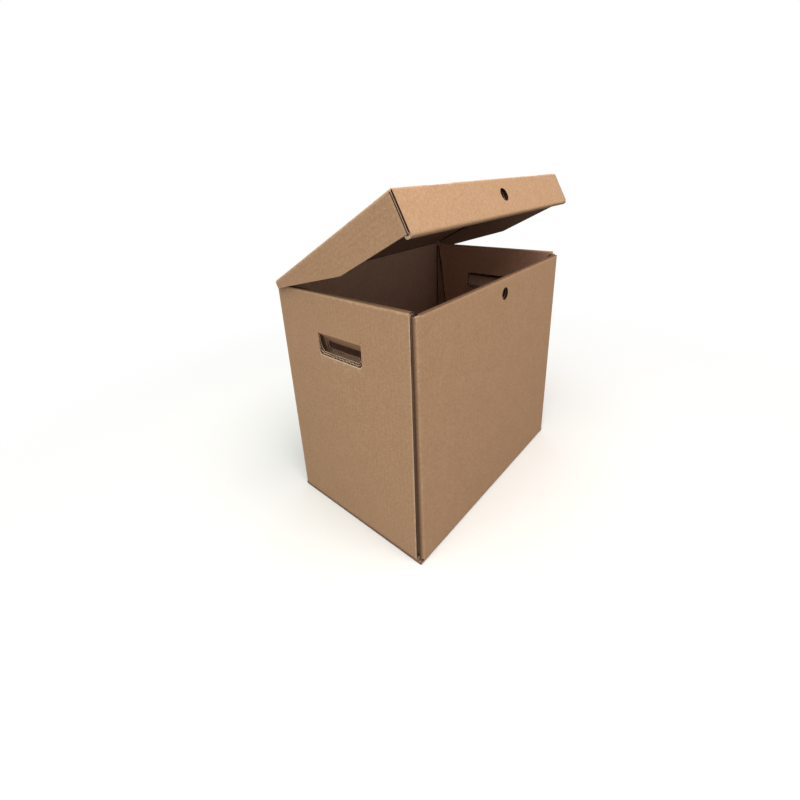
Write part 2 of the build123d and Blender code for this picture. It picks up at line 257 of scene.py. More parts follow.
class LidSizes(PropertyGroup):
    """Lid, drawn shut and turned open about its crease."""

    opening: angle(27.6, "Opening", "Angle at which the lid stands open")
    lid_side_room: length(1.2, "Side room", "Room between side flap and side wall")
    lid_front_room: length(1.8, "Front room", "Room between rolled front and front wall")
    ply_gap: length(0.1, "Ply gap", "Room between the layers of the front")
    front_drop: length(50.8, "Front drop", "Height of the rolled front")
    rear_gap: length(3.6, "Rear gap", "Side flaps start before the crease")
    rear_drop: length(11.4, "Rear drop", "Height of a side flap at its rear end")
    right_sag: length(5.0, "Right sag", "Right side flap lower at its rear end")
    right_reach: length(2.4, "Right reach", "Right side flap nearer to the crease")
    kink_distance: length(138.0, "Kink distance", "Side flap's kink before the crease")
    kink_drop: length(45.0, "Kink drop", "Height of a side flap at the kink")
    edge_inset: length(1.5, "Edge inset", "Rolled lower edge inside the front panel")
    panel_room: length(1.0, "Inner panel room", "Room beside the inner front panel")
    ear_length: length(52.0, "Ear length", "Length of the tucked-in ears")
    ear_foot_room: length(0.3, "Ear foot room", "Room above the rolled lower edge")
    ear_corner: length(10.0, "Ear corner", "Rounding of the ear's end")
    tab_width: length(48.6, "Lock tab", "Width of a lock tab")
    tab_spacing: length(230.0, "Lock tab spacing", "From one lock tab to the other")
    tab_room: length(0.4, "Lock tab room", "Room round a lock tab")


class BoardColours(PropertyGroup):
    """Papers of the board, as sRGB hex values."""

    kraft: colour("#CCA481", "Kraft liner", "Brown kraft paper of the outer faces")
    kraft_dark: colour("#BA9270", "Kraft mottle", "Darker fibres in the kraft paper")
    # The turned-in kraft is the same paper as outside, made lighter and redder as painted bounce light of
    # the shaded inside
    turned: colour("#D3A488", "Turned-in liner", "Kraft paper of the turned-in walls, kept from the light")
    turned_dark: colour("#C19378", "Turned-in mottle", "Darker fibres in the turned-in kraft paper")
    # The inner liner is greyer recycled paper, made lighter as painted light for the shaded inside of the
    # box
    inner: colour("#D0AD94", "Inner liner", "Greyer recycled paper of the inner faces")
    inner_dark: colour("#BE9A82", "Inner mottle", "Darker fibres in the inner paper")
    # Dark recycled fluting, made darker still as painted shade so that the hollows between the flutes look
    # deep
    medium: colour("#7A5C48", "Fluted medium", "Recycled paper of the flutes")
    # The cut colour is also the pale of the painted highlights on folds
    cut: colour("#F0D8B8", "Cut edge", "Pale torn fibres where a liner is cut or stretched over a fold")
    # Dark colour of the painted shade in grooves, hollows, corners and under the lid
    painted_shade: colour("#341610", "Score", "Crushed and glue-stained paper in grooves")


class StudioSettings(PropertyGroup):
    """Camera, lights and floor."""

    camera: FloatVectorProperty(
        name="Camera", description="Where the camera stands", default=(-0.4933, -0.3690, 0.4804),
        subtype="TRANSLATION",
    )
    azimuth: angle(-46.17, "Azimuth", "Camera's bearing round the box")
    elevation: angle(20.27, "Elevation", "How far the camera looks down")
    roll: angle(-3.55, "Roll", "Tilt of the camera about its line of sight")
    lens: FloatProperty(name="Lens", description="Focal length in millimetres", default=18.135)
    shift_x: FloatProperty(name="Shift across", description="Lens shift across", default=0.0207)
    shift_y: FloatProperty(name="Shift up", description="Lens shift up", default=-0.0908)
    front_power: power(27.0, "Front box", "Strength of the front soft box")
    front_bearing: angle(-8.0, "Front bearing", "Bearing of the soft box in front")
    front_tint: colour("#FFF6F0", "Front tint", "Colour of the soft box in front")
    left_power: power(18.0, "Left box", "Strength of the left soft box")
    left_bearing: angle(-82.0, "Left bearing", "Bearing of the soft box on the left")
    left_tint: colour("#F4FFF8", "Left tint", "Colour of the soft box on the left")
    box_height: angle(64.0, "Box height", "Height of the soft boxes above the floor")
    box_distance: length(2200.0, "Box distance", "From the soft boxes to the box")
    box_size: length(1400.0, "Box size", "Side of a soft box")
    fill_power: power(1.25, "Low fill", "Strength of the low fill light")
    fill_bearing: angle(-68.0, "Fill bearing", "Bearing of the low fill light")
    fill_tint: colour("#FFF9F4", "Fill tint", "Colour of the low fill light")
    fill_height: angle(-9.0, "Fill height", "Height of the low fill light against the middle of the box")
    fill_distance: length(900.0, "Fill distance", "From the low fill light to the box")
    fill_size: length(500.0, "Fill size", "Side of the low fill light")
    aim: length(200.0, "Aim", "Height at which the lights point")
    sky: FloatProperty(name="Sky light", description="Strength of the even light", default=0.55)
    floor: colour("#F7F7F6", "Floor", "Pale floor as the camera sees it")
    bounce: colour("#7C7A78", "Floor bounce", "Floor as it lights the box")
    floor_reach: length(12000.0, "Floor reach", "From the box to the edge of the floor")
    shadow_reach: length(350.0, "Shadow reach", "Distance to which the floor keeps its full shadow")
    white_reach: length(1000.0, "White reach", "Distance from which the floor is white to the camera")


def measures(scene):
    """Settings and the places that follow from them, in metres, as plain names."""
    m = SimpleNamespace()
    for group in (scene.archive_board, scene.archive_box, scene.archive_holes, scene.archive_lid):
        for key in type(group).__annotations__:
            setattr(m, key, getattr(group, key))
    m.half_width = m.width / 2
    m.half_depth = m.depth / 2
    # Middles of the boards: side wall, front wall, what lies behind the left wall, and the lid's top
    m.side_mid = m.half_width - m.board / 2
    m.front_mid = -m.half_depth + m.board / 2
    m.lap_mid = -m.half_width + 1.5 * m.board
    m.lid_mid = m.crease - m.board / 2
    m.fold_mid = m.fold_radius + m.board / 2
    m.fold_outer = m.fold_radius + m.board
    m.fold_reach = m.fold_outer + m.fold_leg
    m.side_height = m.crease - m.board - m.seat_room
    m.front_height = m.side_height - m.front_step
    m.front_corner = m.front_height - m.front_corner_step
    m.side_top = m.side_height - m.fold_reach
    m.side_foot = m.board + m.fold_reach
    m.front_top = m.front_height - m.fold_reach
    m.side_edge = 2 * m.board + m.side_gap
    m.front_edge = 2 * m.board + m.front_gap
    m.front_left = -m.half_width + m.front_edge_left
    m.front_right = m.half_width - m.front_edge_right
    m.hand_crease = m.side_height - m.hand_drop
    m.hand_foot = m.hand_crease - m.hand_height
    m.tie_height = m.front_height - m.tie_drop
    m.lid_half = m.half_width + m.lid_side_room + m.board
    m.lid_face = -m.half_depth - m.lid_front_room - 3 * m.board - 2 * m.ply_gap
    m.lid_foot = m.crease - m.front_drop
    m.lid_plate = m.lid_half - m.fold_reach
    m.lid_rear = m.half_depth - m.rear_gap
    m.lid_under = m.crease - m.board
    m.lid_tie_height = m.crease - m.tie_drop
    m.ear_face = m.lid_face + m.board + m.ply_gap
    m.ear_foot = m.lid_foot + m.fold_reach + m.ear_foot_room
    m.inner_face = m.lid_face + 2 * (m.board + m.ply_gap)
    return m


def fold_lines(m, path):
    """Distances along a path at which its straight runs and its quarter folds begin and end."""
    runs = np.hypot(*np.diff(np.array(path), axis=0).T)
    runs[:-1] -= m.fold_mid
    runs[1:] -= m.fold_mid
    steps = [runs[0]]
    for run in runs[1:]:
        steps += [math.pi / 2 * m.fold_mid, run]
    return np.concatenate([[0.0], np.cumsum(steps)])


def spots_on(lines, places):
    """Distances along a path of places that are counted in its runs and folds."""
    return np.interp(places, np.arange(len(lines)), lines)


def follow(m, path, s):
    """Place and left-hand normal at distance s along a path.

    A straight run is its start plus the distance from there times its direction. At a fold the place runs
    on a circle that touches both runs, so the normal turns evenly from one run's to the next."""
    points = np.array(path)
    ways = np.diff(points, axis=0)
    ways /= np.hypot(*ways.T)[:, None]
    lines = fold_lines(m, path)
    place = np.zeros(s.shape + (2,))
    normal = np.zeros(s.shape + (2,))
    for i, way in enumerate(ways):
        side = np.array([-way[1], way[0]])
        first = points[i] + (way * m.fold_mid if i else 0)
        start, stop = lines[2 * i], lines[2 * i + 1]
        on = (s >= start)[..., None] if i else np.ones(s.shape + (1,), bool)
        place = np.where(on, first + way * (s - start)[..., None], place)
        normal = np.where(on, side, normal)
        if i + 1 == len(ways):
            break
        bend = np.sign(way[0] * ways[i + 1][1] - way[1] * ways[i + 1][0])
        turn = (bend * np.clip((s - stop) / m.fold_mid, 0, math.pi / 2))[..., None]
        turned = side * np.cos(turn) - way * np.sin(turn)
        centre = first + way * (stop - start) + side * bend * m.fold_mid
        on = (s > stop)[..., None]
        place = np.where(on, centre - bend * m.fold_mid * turned, place)
        normal = np.where(on, turned, normal)
    return place, normal


def in_space(axis, place, t):
    """Points in space from places in the plane across an axis and distances t along it."""
    a, b = place[..., 0], place[..., 1]
    order = {"X": (t, a, b), "Y": (a, t, b), "Z": (a, b, t)}[axis]
    return np.stack(np.broadcast_arrays(*order), axis=-1)


def columns(start, stop, step, marks):
    """Even steps from start to stop, with the marked places added."""
    even = np.linspace(start, stop, max(2, int(round((stop - start) / step)) + 1))
    inside = [mark for mark in marks if start < mark < stop]
    return np.unique(np.round(np.concatenate([even, inside]), DECIMALS))


def closed_sheet(near, far, keep):
    """Thin closed sheet between two like grids of points.

    Each kept cell gives a face on both grids, and a wall joins the grids wherever a kept cell borders on
    none. Returns points, faces and which faces are walls."""
    rows, cols = near.shape[:2]
    index = np.arange(rows * cols).reshape(rows, cols)
    under = rows * cols
    cells = np.stack([index[:-1, :-1], index[:-1, 1:], index[1:, 1:], index[1:, :-1]], axis=-1)[keep]
    padded = np.pad(keep, 1)
    i, j = np.nonzero(padded[1:, 1:-1] != padded[:-1, 1:-1])
    across = np.stack([index[i, j], index[i, j + 1]], axis=-1)
    i, j = np.nonzero(padded[1:-1, 1:] != padded[1:-1, :-1])
    along = np.stack([index[i, j], index[i + 1, j]], axis=-1)
    edges = np.concatenate([across, along])
    walls = np.concatenate([edges, edges[:, ::-1] + under], axis=1)
    faces = np.concatenate([cells, cells[:, ::-1] + under, walls])
    points = np.concatenate([near.reshape(-1, 3), far.reshape(-1, 3)])
    return points, faces, np.arange(len(faces)) >= 2 * len(cells)


def grid_of(lines, rows, rim):
    """Rows of places between lines: a rim or a third of the band at each line, even steps between."""
    stack = [lines[0][None]]
    for low, high, count in zip(lines[:-1], lines[1:], rows):
        step = np.minimum(rim, (high - low) / 3)
        share = np.linspace(0, 1, count + 1)[:, None]
        stack += [low + step + (high - low - 2 * step) * share, high[None]]
    return np.concatenate(stack)


def on_border(keep):
    """Which points of a grid lie on the border of the kept cells."""
    padded = np.pad(keep, 1)
    return ~(padded[1:, 1:] & padded[:-1, 1:] & padded[1:, :-1] & padded[:-1, :-1])


def layer_faces(m, across, span, phase, pressed):
    """Upper and lower face of each layer of the board, measured from the middle of the board.

    The liners are flat. The medium is a sine wave across the flutes. Over the pressed width at both ends
    of the span it thickens until it fills the board."""
    half = m.board / 2
    swing = half - m.liner - m.glue - m.medium / 2
    from_end = np.minimum(across - span[0], span[1] - across)
    solid = np.clip(1 - from_end / pressed, 0, 1) if pressed else 0.0
    wave = swing * np.sin(2 * math.pi * across / m.pitch + phase) * (1 - solid)
    thick = m.medium / 2 + swing * solid
    return (half, half - m.liner), (wave + thick, wave - thick), (-half + m.liner, -half)


def bulge(bow, across, along, edges, ends):
    """Rise of a bowed panel: half a sine wave from edge to edge times half a sine wave from end to end."""
    u = np.clip((across - edges[0]) / (edges[1] - edges[0]), 0, 1)
    v = np.clip((along - ends[0]) / (ends[1] - ends[0]), 0, 1)
    return bow * np.sin(math.pi * u) * np.sin(math.pi * v)


def board(m, name, body, path, axis, span, bands, rows, outer=1, flutes="axis", marks=(), bow=0.0,
          flat=None, phase=0.0, pressed=0.0, place=(), tone=None, cut=0.0, skin="Kraft liner"):
    """Corrugated board that stands for the node of the same name: two liners and a fluted medium.

    The board follows a path across an axis. Across the flutes lie columns over the span, and along the
    flutes rows between the lines that bands gives for the columns and a depth in the board. Bands also
    gives, for the middle of each column, which bands are open, and rows holds the steps in each band.
    Outer is the side of the path on which the outer face lies, flutes the way in which they run, and flat
    the edges between which the panel bows. Phase shifts the flutes, and pressed is the width that is
    pressed solid at both ends of the span. Place holds functions that move the points. Tone gives the tones
    of a layer, and cut a tone for its border. Painted shade darkens the hollows between the flutes, and
    the cut edges of the medium are frayed. Skin names the paper of the outer face."""
    lines = fold_lines(m, path)
    marks = [*marks, span[0] + m.rim, span[1] - m.rim]
    if flutes == "axis":
        folds = [np.linspace(a, b, FOLD_STEPS + 1) for a, b in zip(lines[1:-1:2], lines[2::2])]
        marks += [*np.concatenate([lines, *folds])]
    sheets = []
    total = 0
    depths = ((0.0, LINER_STEPS), (m.board / 2, MEDIUM_STEPS), (m.board, LINER_STEPS))
    for layer, (depth, steps) in enumerate(depths):
        a = columns(*span, m.pitch / steps, marks)
        mid = (a[1:] + a[:-1]) / 2
        levels, opened = bands(a, mid, depth)
        levels = [np.broadcast_to(line, a.shape) for line in levels]
        opened = [np.broadcast_to(hole, mid.shape) for hole in opened]
        keep = ~np.repeat(opened, np.array(rows) + 2, axis=0)
        along = grid_of(levels, rows, m.rim)
        across = np.broadcast_to(a, along.shape)
        s, t = (across, along) if flutes == "axis" else (along, across)
        spot, normal = follow(m, path, s)
        rise = bulge(bow, across, along, flat or span, (levels[0].min(), levels[-1].max()))
        heights = layer_faces(m, across, span, phase, pressed)[layer]
        near, far = [in_space(axis, spot + normal * (outer * (z + rise))[..., None], t) for z in heights]
        for move in place:
            near, far = move(near), move(far)
        points, faces, walls = closed_sheet(near, far, keep)
        papers = np.where(walls & (layer != FLUTING), TORN_EDGE, layer)
        border = on_border(keep)
        shade = cut * border + (tone(layer, across, along) if tone else 0)
        # Painted shade: faces inside the board, between the flutes, are darkened away from the cut edges
        hollow = np.where(border, shade + FRAY_TONE * (layer == FLUTING), HOLLOW_SHADE_TONE)
        tones = ((shade, hollow), (hollow, hollow), (hollow, shade))[layer]
        places = np.stack([np.stack([across, along, face], axis=-1) for face in tones]).reshape(-1, 3)
        sheets.append((points, faces + total, papers, places))
        total += len(points)
    board_object(name, body, skin, *(np.concatenate(part) for part in zip(*sheets)))


def board_object(name, body, skin, points, faces, papers, places):
    """Mesh of a board from its arrays, set on its body in place of its node."""
    mesh = bpy.data.meshes.new(name)
    mesh.from_pydata(points, [], faces)
    mesh.polygons.foreach_set("material_index", papers.astype(np.int32))
    attribute = mesh.attributes.new("board_place", "FLOAT_VECTOR", "POINT")
    attribute.data.foreach_set("vector", places.ravel())
    clean(mesh)
    mesh.shade_smooth()
    mesh.set_sharp_from_angle(angle=SHARP)
    obj = new_piece(f"{name}_board", mesh, body, (skin, "Fluting paper", "Inner liner", "Torn liner edge"))
    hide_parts(name)


def clean(mesh):
    """Merges points that coincide, drops points without a face and turns the faces outwards."""
    shell = bmesh.new()
    shell.from_mesh(mesh)
    bmesh.ops.remove_doubles(shell, verts=shell.verts, dist=WELD)
    loose = [vert for vert in shell.verts if not vert.link_faces]
    bmesh.ops.delete(shell, geom=loose, context="VERTS")
    bmesh.ops.recalc_face_normals(shell, faces=shell.faces)
    shell.to_mesh(mesh)
    shell.free()


def new_piece(name, mesh, body, papers):
    """Object that wears its papers and rides on its body."""
    for paper_name in papers:
        mesh.materials.append(bpy.data.materials[paper_name])
    obj = bpy.data.objects.new(name, mesh)
    bpy.context.scene.collection.objects.link(obj)
    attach(obj, body)
    return obj


def round_line(a, half, corner, flat, side):
    """Line that is flat between two rounded corners and leaves the corners on a quarter circle."""
    past = np.clip(np.abs(a) - (half - corner), 0, corner)
    return flat + side * (corner - np.sqrt(np.maximum(corner ** 2 - past ** 2, 0)))


def slanted_foot(m, y, half, foot, depth):
    """Lower line of a hand hole's cut in a layer of the board at a depth.

    The line is level and ends in quarter ellipses. The deeper the layer, the higher the line and the
    taller its ellipses, so the layers show one behind the other. Two sine waves make the cut ragged, most
    in the depth."""
    share = depth / m.board
    wide = m.hand_corner + share * m.hand_slant
    tall = m.hand_corner + share * (m.hand_height - 2 * m.hand_corner - m.hand_slant)
    past = np.clip((np.abs(y) - half) / wide + 1, 0, 1)
    ragged = sum(np.sin(wave * y / m.pitch * 2 * math.pi + phase) for wave, phase in FRAY_WAVES)
    fray = m.hand_fray * ragged * (1 + share) / 2
    return foot + share * m.hand_slant + fray + tall * (1 - np.sqrt(1 - past ** 2))


def tapered_foot(a, half, foot, depth, corner):
    """Lower line of a tapered flap, measured from its top.

    The line is level between the lower corners and then rises straight to the top at its ends. A bell
    curve over each lower corner softens it."""
    past = np.abs(a) - foot
    slope = np.clip(past / (half - foot), 0, 1) * depth
    soft = SOFT_WIDTH * corner
    return np.minimum(-depth + slope + SOFT_RISE * soft * np.exp(-(past / soft) ** 2), 0)


def corner_marks(half, corner):
    """Columns that follow a rounded corner at either end."""
    turn = np.sin(np.linspace(0, math.pi / 2, CORNER_STEPS + 1))
    spots = half - corner + corner * turn
    return np.concatenate([spots, -spots])


def hand_marks(m, half):
    """Columns that follow a hand hole's corners and its ragged cut."""
    steps = np.arange(-half, half, m.pitch / MEDIUM_STEPS)
    corners = [corner_marks(half, m.hand_corner + slant) for slant in (0, m.hand_slant)]
    return np.concatenate([steps, *corners])


def tie_marks(m):
    """Columns that follow a tie hole, with one more on either side of it."""
    radius = m.tie_diameter / 2
    turn = np.cos(np.linspace(0, math.pi, TIE_STEPS + 1))
    return m.tie_offset + np.array([*(radius * turn), -radius - m.liner, radius + m.liner])


def tie_lines(m, x, centre):
    """Lower and upper half of a tie hole, a circle round a place along the flutes."""
    reach = np.sqrt(np.maximum((m.tie_diameter / 2) ** 2 - (x - m.tie_offset) ** 2, 0))
    return centre - reach, centre + reach


def tie_hole_shade(m, x, along, centre):
    """Painted shade at the cut of a tie hole round a place along the flutes, so that the hole looks dark."""
    low, high = tie_lines(m, x, centre)
    near = np.minimum(np.abs(along - low), np.abs(along - high)) < m.liner / 2
    beside = np.abs(x - m.tie_offset) < m.tie_diameter / 2 + m.liner / 2
    return TIE_HOLE_SHADE_TONE * (near & beside)


def in_tie_hole(m, x):
    """Whether a column crosses a tie hole."""
    return np.abs(x - m.tie_offset) < m.tie_diameter / 2


def tab_marks(m, room):
    """Ends of the two lock tabs, or with some room of their slits."""
    reach = m.tab_width / 2 + room
    return [side * m.tab_spacing / 2 + end * reach for side in (-1, 1) for end in (-1, 1)]


def in_tab(m, x, room):
    """Whether a column crosses a lock tab, or with some room its slit."""
    return np.abs(np.abs(x) - m.tab_spacing / 2) < m.tab_width / 2 + room


def mirrored(points):
    """Points carried over from the left to the right."""
    return points * np.array([-1.0, 1.0, 1.0])


def flipped(points):
    """Points carried over from the front to the back."""
    return points * np.array([1.0, -1.0, 1.0])


# Moves that put a piece drawn on the left on its side
ON_LEFT = ()
ON_RIGHT = (mirrored,)


def lid_turned(m):
    """Function that turns points open about the crease of the lid."""
    def turn(points):
        c, s = math.cos(m.opening), math.sin(m.opening)
        y = points[..., 1] - m.half_depth
        z = points[..., 2] - m.crease
        return np.stack([points[..., 0], m.half_depth + y * c + z * s, m.crease - y * s + z * c], axis=-1)
    return turn


def front_wall(m):
    """Front wall: a run between two folded corners, cut lower for its rolled edge, with a tie hole."""
    back = -m.half_depth + m.fold_reach
    path = [(m.lap_mid, back), (m.lap_mid, m.front_mid), (m.side_mid, m.front_mid), (m.side_mid, back)]
    lines = fold_lines(m, path)
    start = lines[2] - (m.lap_mid + m.fold_mid)
    edge = (start + m.front_left, start + m.front_right)
    highlight_end = lines[2] + 3 * m.rim

    def bands(a, mid, depth):
        hole = tie_lines(m, a - start, m.tie_height)
        levels = [m.fold_reach, m.side_foot, *hole, m.front_top, m.front_corner]
        corner = (mid < lines[2]) | (mid > lines[3])
        rolled = (mid > edge[0]) & (mid < edge[1])
        return levels, [corner, False, in_tie_hole(m, mid - start), False, rolled]

    # Painted shade and highlight at the glue joint, and painted shade round the tie hole
    def tone(layer, s, z):
        joint = np.interp(s, [*spots_on(lines, JOINT_PLACES), highlight_end], JOINT_SHADE_AND_HIGHLIGHT_TONES)
        return joint + tie_hole_shade(m, s - start, z, m.tie_height)

    marks = [*edge, *(start + tie_marks(m)), highlight_end]
    board(m, "front_wall", "box", path, "Z", (0, lines[-1]), bands, [1, 10, 1, 2, 1], outer=-1, marks=marks,
          bow=m.bow, flat=(lines[2], lines[3]), tone=tone)


def back_wall(m):
    """Back wall: a run between two folded corners, bevelled along the crease of the lid."""
    face = -m.front_mid
    front = m.half_depth - m.fold_reach
    path = [(-m.side_mid, front), (-m.side_mid, face), (m.side_mid, face), (m.side_mid, front)]
    lines = fold_lines(m, path)

    def bands(a, mid, depth):
        corner = (mid < lines[2]) | (mid > lines[3])
        return [m.fold_reach, m.side_foot, m.crease - depth], [corner, False]

    # Painted shade on the inner liner: in the folded inside corners and in the groove along the lid's crease
    def tone(layer, s, z):
        folded = (s >= lines[1]) & (s <= lines[2]) | (s >= lines[3]) & (s <= lines[4])
        groove = np.interp(z, [m.lid_under - m.rim, m.lid_under], [0.0, GROOVE_SHADE_TONE])
        return np.where(folded, CORNER_SHADE_TONE, groove) * (layer == INNER_LINER)

    board(m, "back_wall", "box", path, "Z", (0, lines[-1]), bands, [1, 8], tone=tone)


def side_wall(m, name, foot, head, side):
    """Side wall: flat, with the hand hole, its front edge straight between its places at foot and head.

    Above the hand hole's bevelled crease a slit runs up at a slant from each of its corners."""
    path = [(-m.side_mid, -m.half_depth), (-m.side_mid, m.half_depth)]
    half = m.hand_width / 2
    back = m.half_depth - m.fold_reach
    nick = m.nick_length * math.sin(m.nick_tilt)

    def bands(a, mid, depth):
        y = a - m.half_depth
        bottom = np.full(a.shape, m.side_foot)
        if head < foot:
            bottom = np.interp(-y, [-foot, -head + SLIVER], [m.side_foot, m.side_top])
        low = slanted_foot(m, y, half, m.hand_foot, depth)
        high = m.hand_crease + depth * math.tan(m.wall_bevel)
        slit = m.hand_crease + np.clip(np.abs(y) - half, 0, nick) / math.tan(m.nick_tilt)
        slit_low = np.maximum(slit, high)
        slit_high = np.maximum(slit + m.nick_width / math.sin(m.nick_tilt), slit_low)
        hole = [np.maximum(line, bottom) for line in (low, high, slit_low, slit_high)]
        from_end = np.abs(mid - m.half_depth) - half
        slit_open = (from_end > m.nick_width) & (from_end < nick) & (depth < m.board)
        return [bottom, *hole, m.side_top], [False, from_end < 0, False, slit_open, False]

    def tone(layer, a, z):
        y = a - m.half_depth
        edge = y - np.interp(z, [m.side_foot, m.side_top], [foot, head])
        raw = np.clip(1 - edge / (2 * m.rim), 0, 1) * (foot > head)
        # Painted shade on the layers under the outer liner at the left wall's cut edge
        if layer != OUTER_LINER:
            return RAW_EDGE_PAINTED_SHADE * raw
        below = slanted_foot(m, y, half, m.hand_foot, 0.0) - z
        at_hole = (np.abs(y) < half) & (below < 2 * m.rim) & (z < m.hand_crease)
        return RAW_TONE * raw + np.interp(np.abs(below), [0, m.rim], TORN_TONES) * at_hole

    steps = (m.nick_width, nick / 2, nick, nick + m.rim, m.rim)
    nick_marks = [end * (half + step) for end in (-1, 1) for step in steps]
    cut_marks = np.linspace(head, foot, CUT_STEPS + 1)
    marks = m.half_depth + np.concatenate([hand_marks(m, half), cut_marks, nick_marks])
    board(m, name, "box", path, "Z", (head + m.half_depth, back + m.half_depth), bands, [8, 3, 1, 1, 2],
          marks=marks, bow=m.bow, place=side, tone=tone, cut=WALL_CUT_TONE)


def side_walls(m):
    """Left wall, glued over the front wall's corner and glue flap, and right wall, folded from the front."""
    side_wall(m, "left_wall", -m.half_depth + m.lap_bottom, -m.half_depth + m.lap_top, ON_LEFT)
    fold_end = -m.half_depth + m.fold_reach
    side_wall(m, "right_wall", fold_end, fold_end, ON_RIGHT)


def glue_flap(m):
    """Glue flap behind the left wall: flat, with sloping ends, clear of the leaning inner wall."""
    front = -m.half_depth + m.fold_reach
    path = [(m.lap_mid, front), (m.lap_mid, front + m.glue_width)]
    tight = max(m.board + m.glue_room - m.side_gap, 0)
    head = m.side_top - tight / math.tan(m.side_lean)

    def bands(a, mid, depth):
        slope = a / m.glue_width * m.glue_taper
        return [m.glue_foot + slope, head - slope], [False]

    # Painted shade: darker towards the front of the flap, in the recess of the joint
    def tone(layer, a, z):
        return np.interp(a, [m.glue_width / 2, m.glue_width], [GLUE_FLAP_SHADE_TONE, 0.0])

    board(m, "glue_flap", "box", path, "Z", (0, m.glue_width), bands, [4], tone=tone)


def bent(m, name, body, path, axis, span, outer, **looks):
    """Board bent along straight folds, with its flutes running over the folds."""
    lines = fold_lines(m, path)
    rows = [FOLD_STEPS if i % 2 else RUN_ROWS for i in range(len(lines) - 1)]

    def bands(a, mid, depth):
        return lines, [False] * len(rows)

    board(m, name, body, path, axis, span, bands, rows, outer=outer, flutes="path", **looks)


def rolled_edge_highlight_and_shade(lines, pale):
    """Paler paper on the outer fold of a rolled edge, partly stretched fibres and partly painted highlight,
    and painted shade on its top and inner fold.
    """
    spots = spots_on(lines, ROLLED_PLACES)
    tones = [pale / 3, pale, pale / 2, ROLLED_TOP_SHADE_TONE, ROLLED_TOP_SHADE_TONE]

    def tone(layer, x, s):
        return np.interp(s, spots, tones)

    return tone


def rolled_edges(m):
    """Rolled top edges: up, over and down again with two quarter folds."""
    inner = -m.half_width + m.side_edge - m.board / 2
    top = m.side_height - m.board / 2
    path = [(-m.side_mid, m.side_top), (-m.side_mid, top), (inner, top), (inner, m.side_top)]
    back = m.half_depth - m.fold_reach
    span = (-m.half_depth + m.lap_top, back)
    # Left rolled edge: paler outer fold with painted highlight, painted shade on its top and inner fold
    tone = rolled_edge_highlight_and_shade(fold_lines(m, path), LEFT_ROLL_HIGHLIGHT_TONE)
    bent(m, "left_top_edge", "box", path, "Y", span, 1, tone=tone)
    span = (-m.half_depth + m.side_edge_front, back)
    bent(m, "right_top_edge", "box", path, "Y", span, 1, place=ON_RIGHT, pressed=m.pressed)
    inner = -m.half_depth + m.front_edge - m.board / 2
    top = m.front_height - m.board / 2
    path = [(m.front_mid, m.front_top), (m.front_mid, top), (inner, top), (inner, m.front_top)]
    # Front rolled edge: painted shade on its top and inner fold
    tone = rolled_edge_highlight_and_shade(fold_lines(m, path), 0.0)
    bent(m, "front_top_edge", "box", path, "X", (m.front_left, m.front_right), 1, tone=tone)


def inner_side_wall(m, name, side, lift):
    """Turned-in layer of a side wall: tapered and leaning inwards, with the foot of its hole lifted."""
    x = -m.half_width + m.side_edge - m.board / 2
    top = m.half_depth - m.front_edge - m.inner_room
    foot = top - m.side_turn_in * math.tan(m.side_taper)
    path = [(x, -top), (x, top)]
    half = m.hand_width / 2 + m.inner_margin
    low_hole = (m.hand_foot + lift - m.side_top) / math.cos(m.side_lean)
    high_hole = (m.hand_crease + m.inner_rise - m.side_top) / math.cos(m.side_lean)

    def bands(a, mid, depth):
        y = a - top
        bottom = tapered_foot(y, top, foot, m.side_turn_in, m.inner_corner)
        low = round_line(y, half, m.hand_corner, low_hole + m.inner_slant * (1 - depth / m.board), 1)
        high = round_line(y, half, m.inner_rounding, high_hole, -1)
        levels = [bottom, np.maximum(low, bottom), np.maximum(high, bottom), 0.0]
        return levels, [False, np.abs(mid - top) < half, False]

    # Painted shadow along the slanted ends on the turned-in face
    def tone(layer, a, z):
        from_end = top - np.abs(a - top) + z * math.tan(m.side_taper)
        return np.interp(from_end, [m.rim, 2 * m.rim], [SLANT_SHADOW_TONE, 0.0]) * (layer == OUTER_LINER)

    def lean(points):
        x_flat, y, drop = np.moveaxis(points, -1, 0)
        leant = [x_flat - drop * math.sin(m.side_lean), y, m.side_top + drop * math.cos(m.side_lean)]
        return np.stack(leant, axis=-1)

    corners = [corner_marks(half, corner) for corner in (m.hand_corner, m.inner_rounding)]
    marks = top + np.concatenate([*corners, [foot, -foot]])
    # Turned-in face in kraft with painted bounce light
    board(m, name, "box", path, "Z", (0, 2 * top), bands, [16, 3, 2], outer=-1, marks=marks,
          place=(lean, *side), tone=tone, cut=INNER_CUT_TONE, skin="Turned-in kraft liner")


def front_inner_wall(m):
    """Turned-in layer of the front wall: flat and tapered, with a tie hole."""
    left, right = m.front_left, m.front_right
    y = -m.half_depth + m.front_edge - m.board / 2
    path = [(left, y), (right, y)]
    middle = (left + right) / 2
    half = (right - left) / 2
    foot = half - m.front_turn_in * math.tan(m.front_taper)

    def bands(a, mid, depth):
        x = a + left
        bottom = m.front_top + tapered_foot(x - middle, half, foot, m.front_turn_in, m.inner_corner)
        hole = [np.maximum(line, bottom) for line in tie_lines(m, x, m.tie_height)]
        return [bottom, *hole, m.front_top], [False, in_tie_hole(m, mid + left), False]

    # Painted shade round the tie hole
    def tone(layer, a, z):
        return tie_hole_shade(m, a + left, z, m.tie_height)

    marks = [*(tie_marks(m) - left), middle - foot - left, middle + foot - left]
    # Turned-in face in kraft with painted bounce light
    board(m, "front_inner_wall", "box", path, "Z", (0, right - left), bands, [4, 1, 2], marks=marks,
          tone=tone, skin="Turned-in kraft liner")


def inner_walls(m):
    """Turned-in layers of the three walls."""
    inner_side_wall(m, "left_inner_wall", ON_LEFT, 0.0)
    inner_side_wall(m, "right_inner_wall", ON_RIGHT, m.inner_lift)
    front_inner_wall(m)


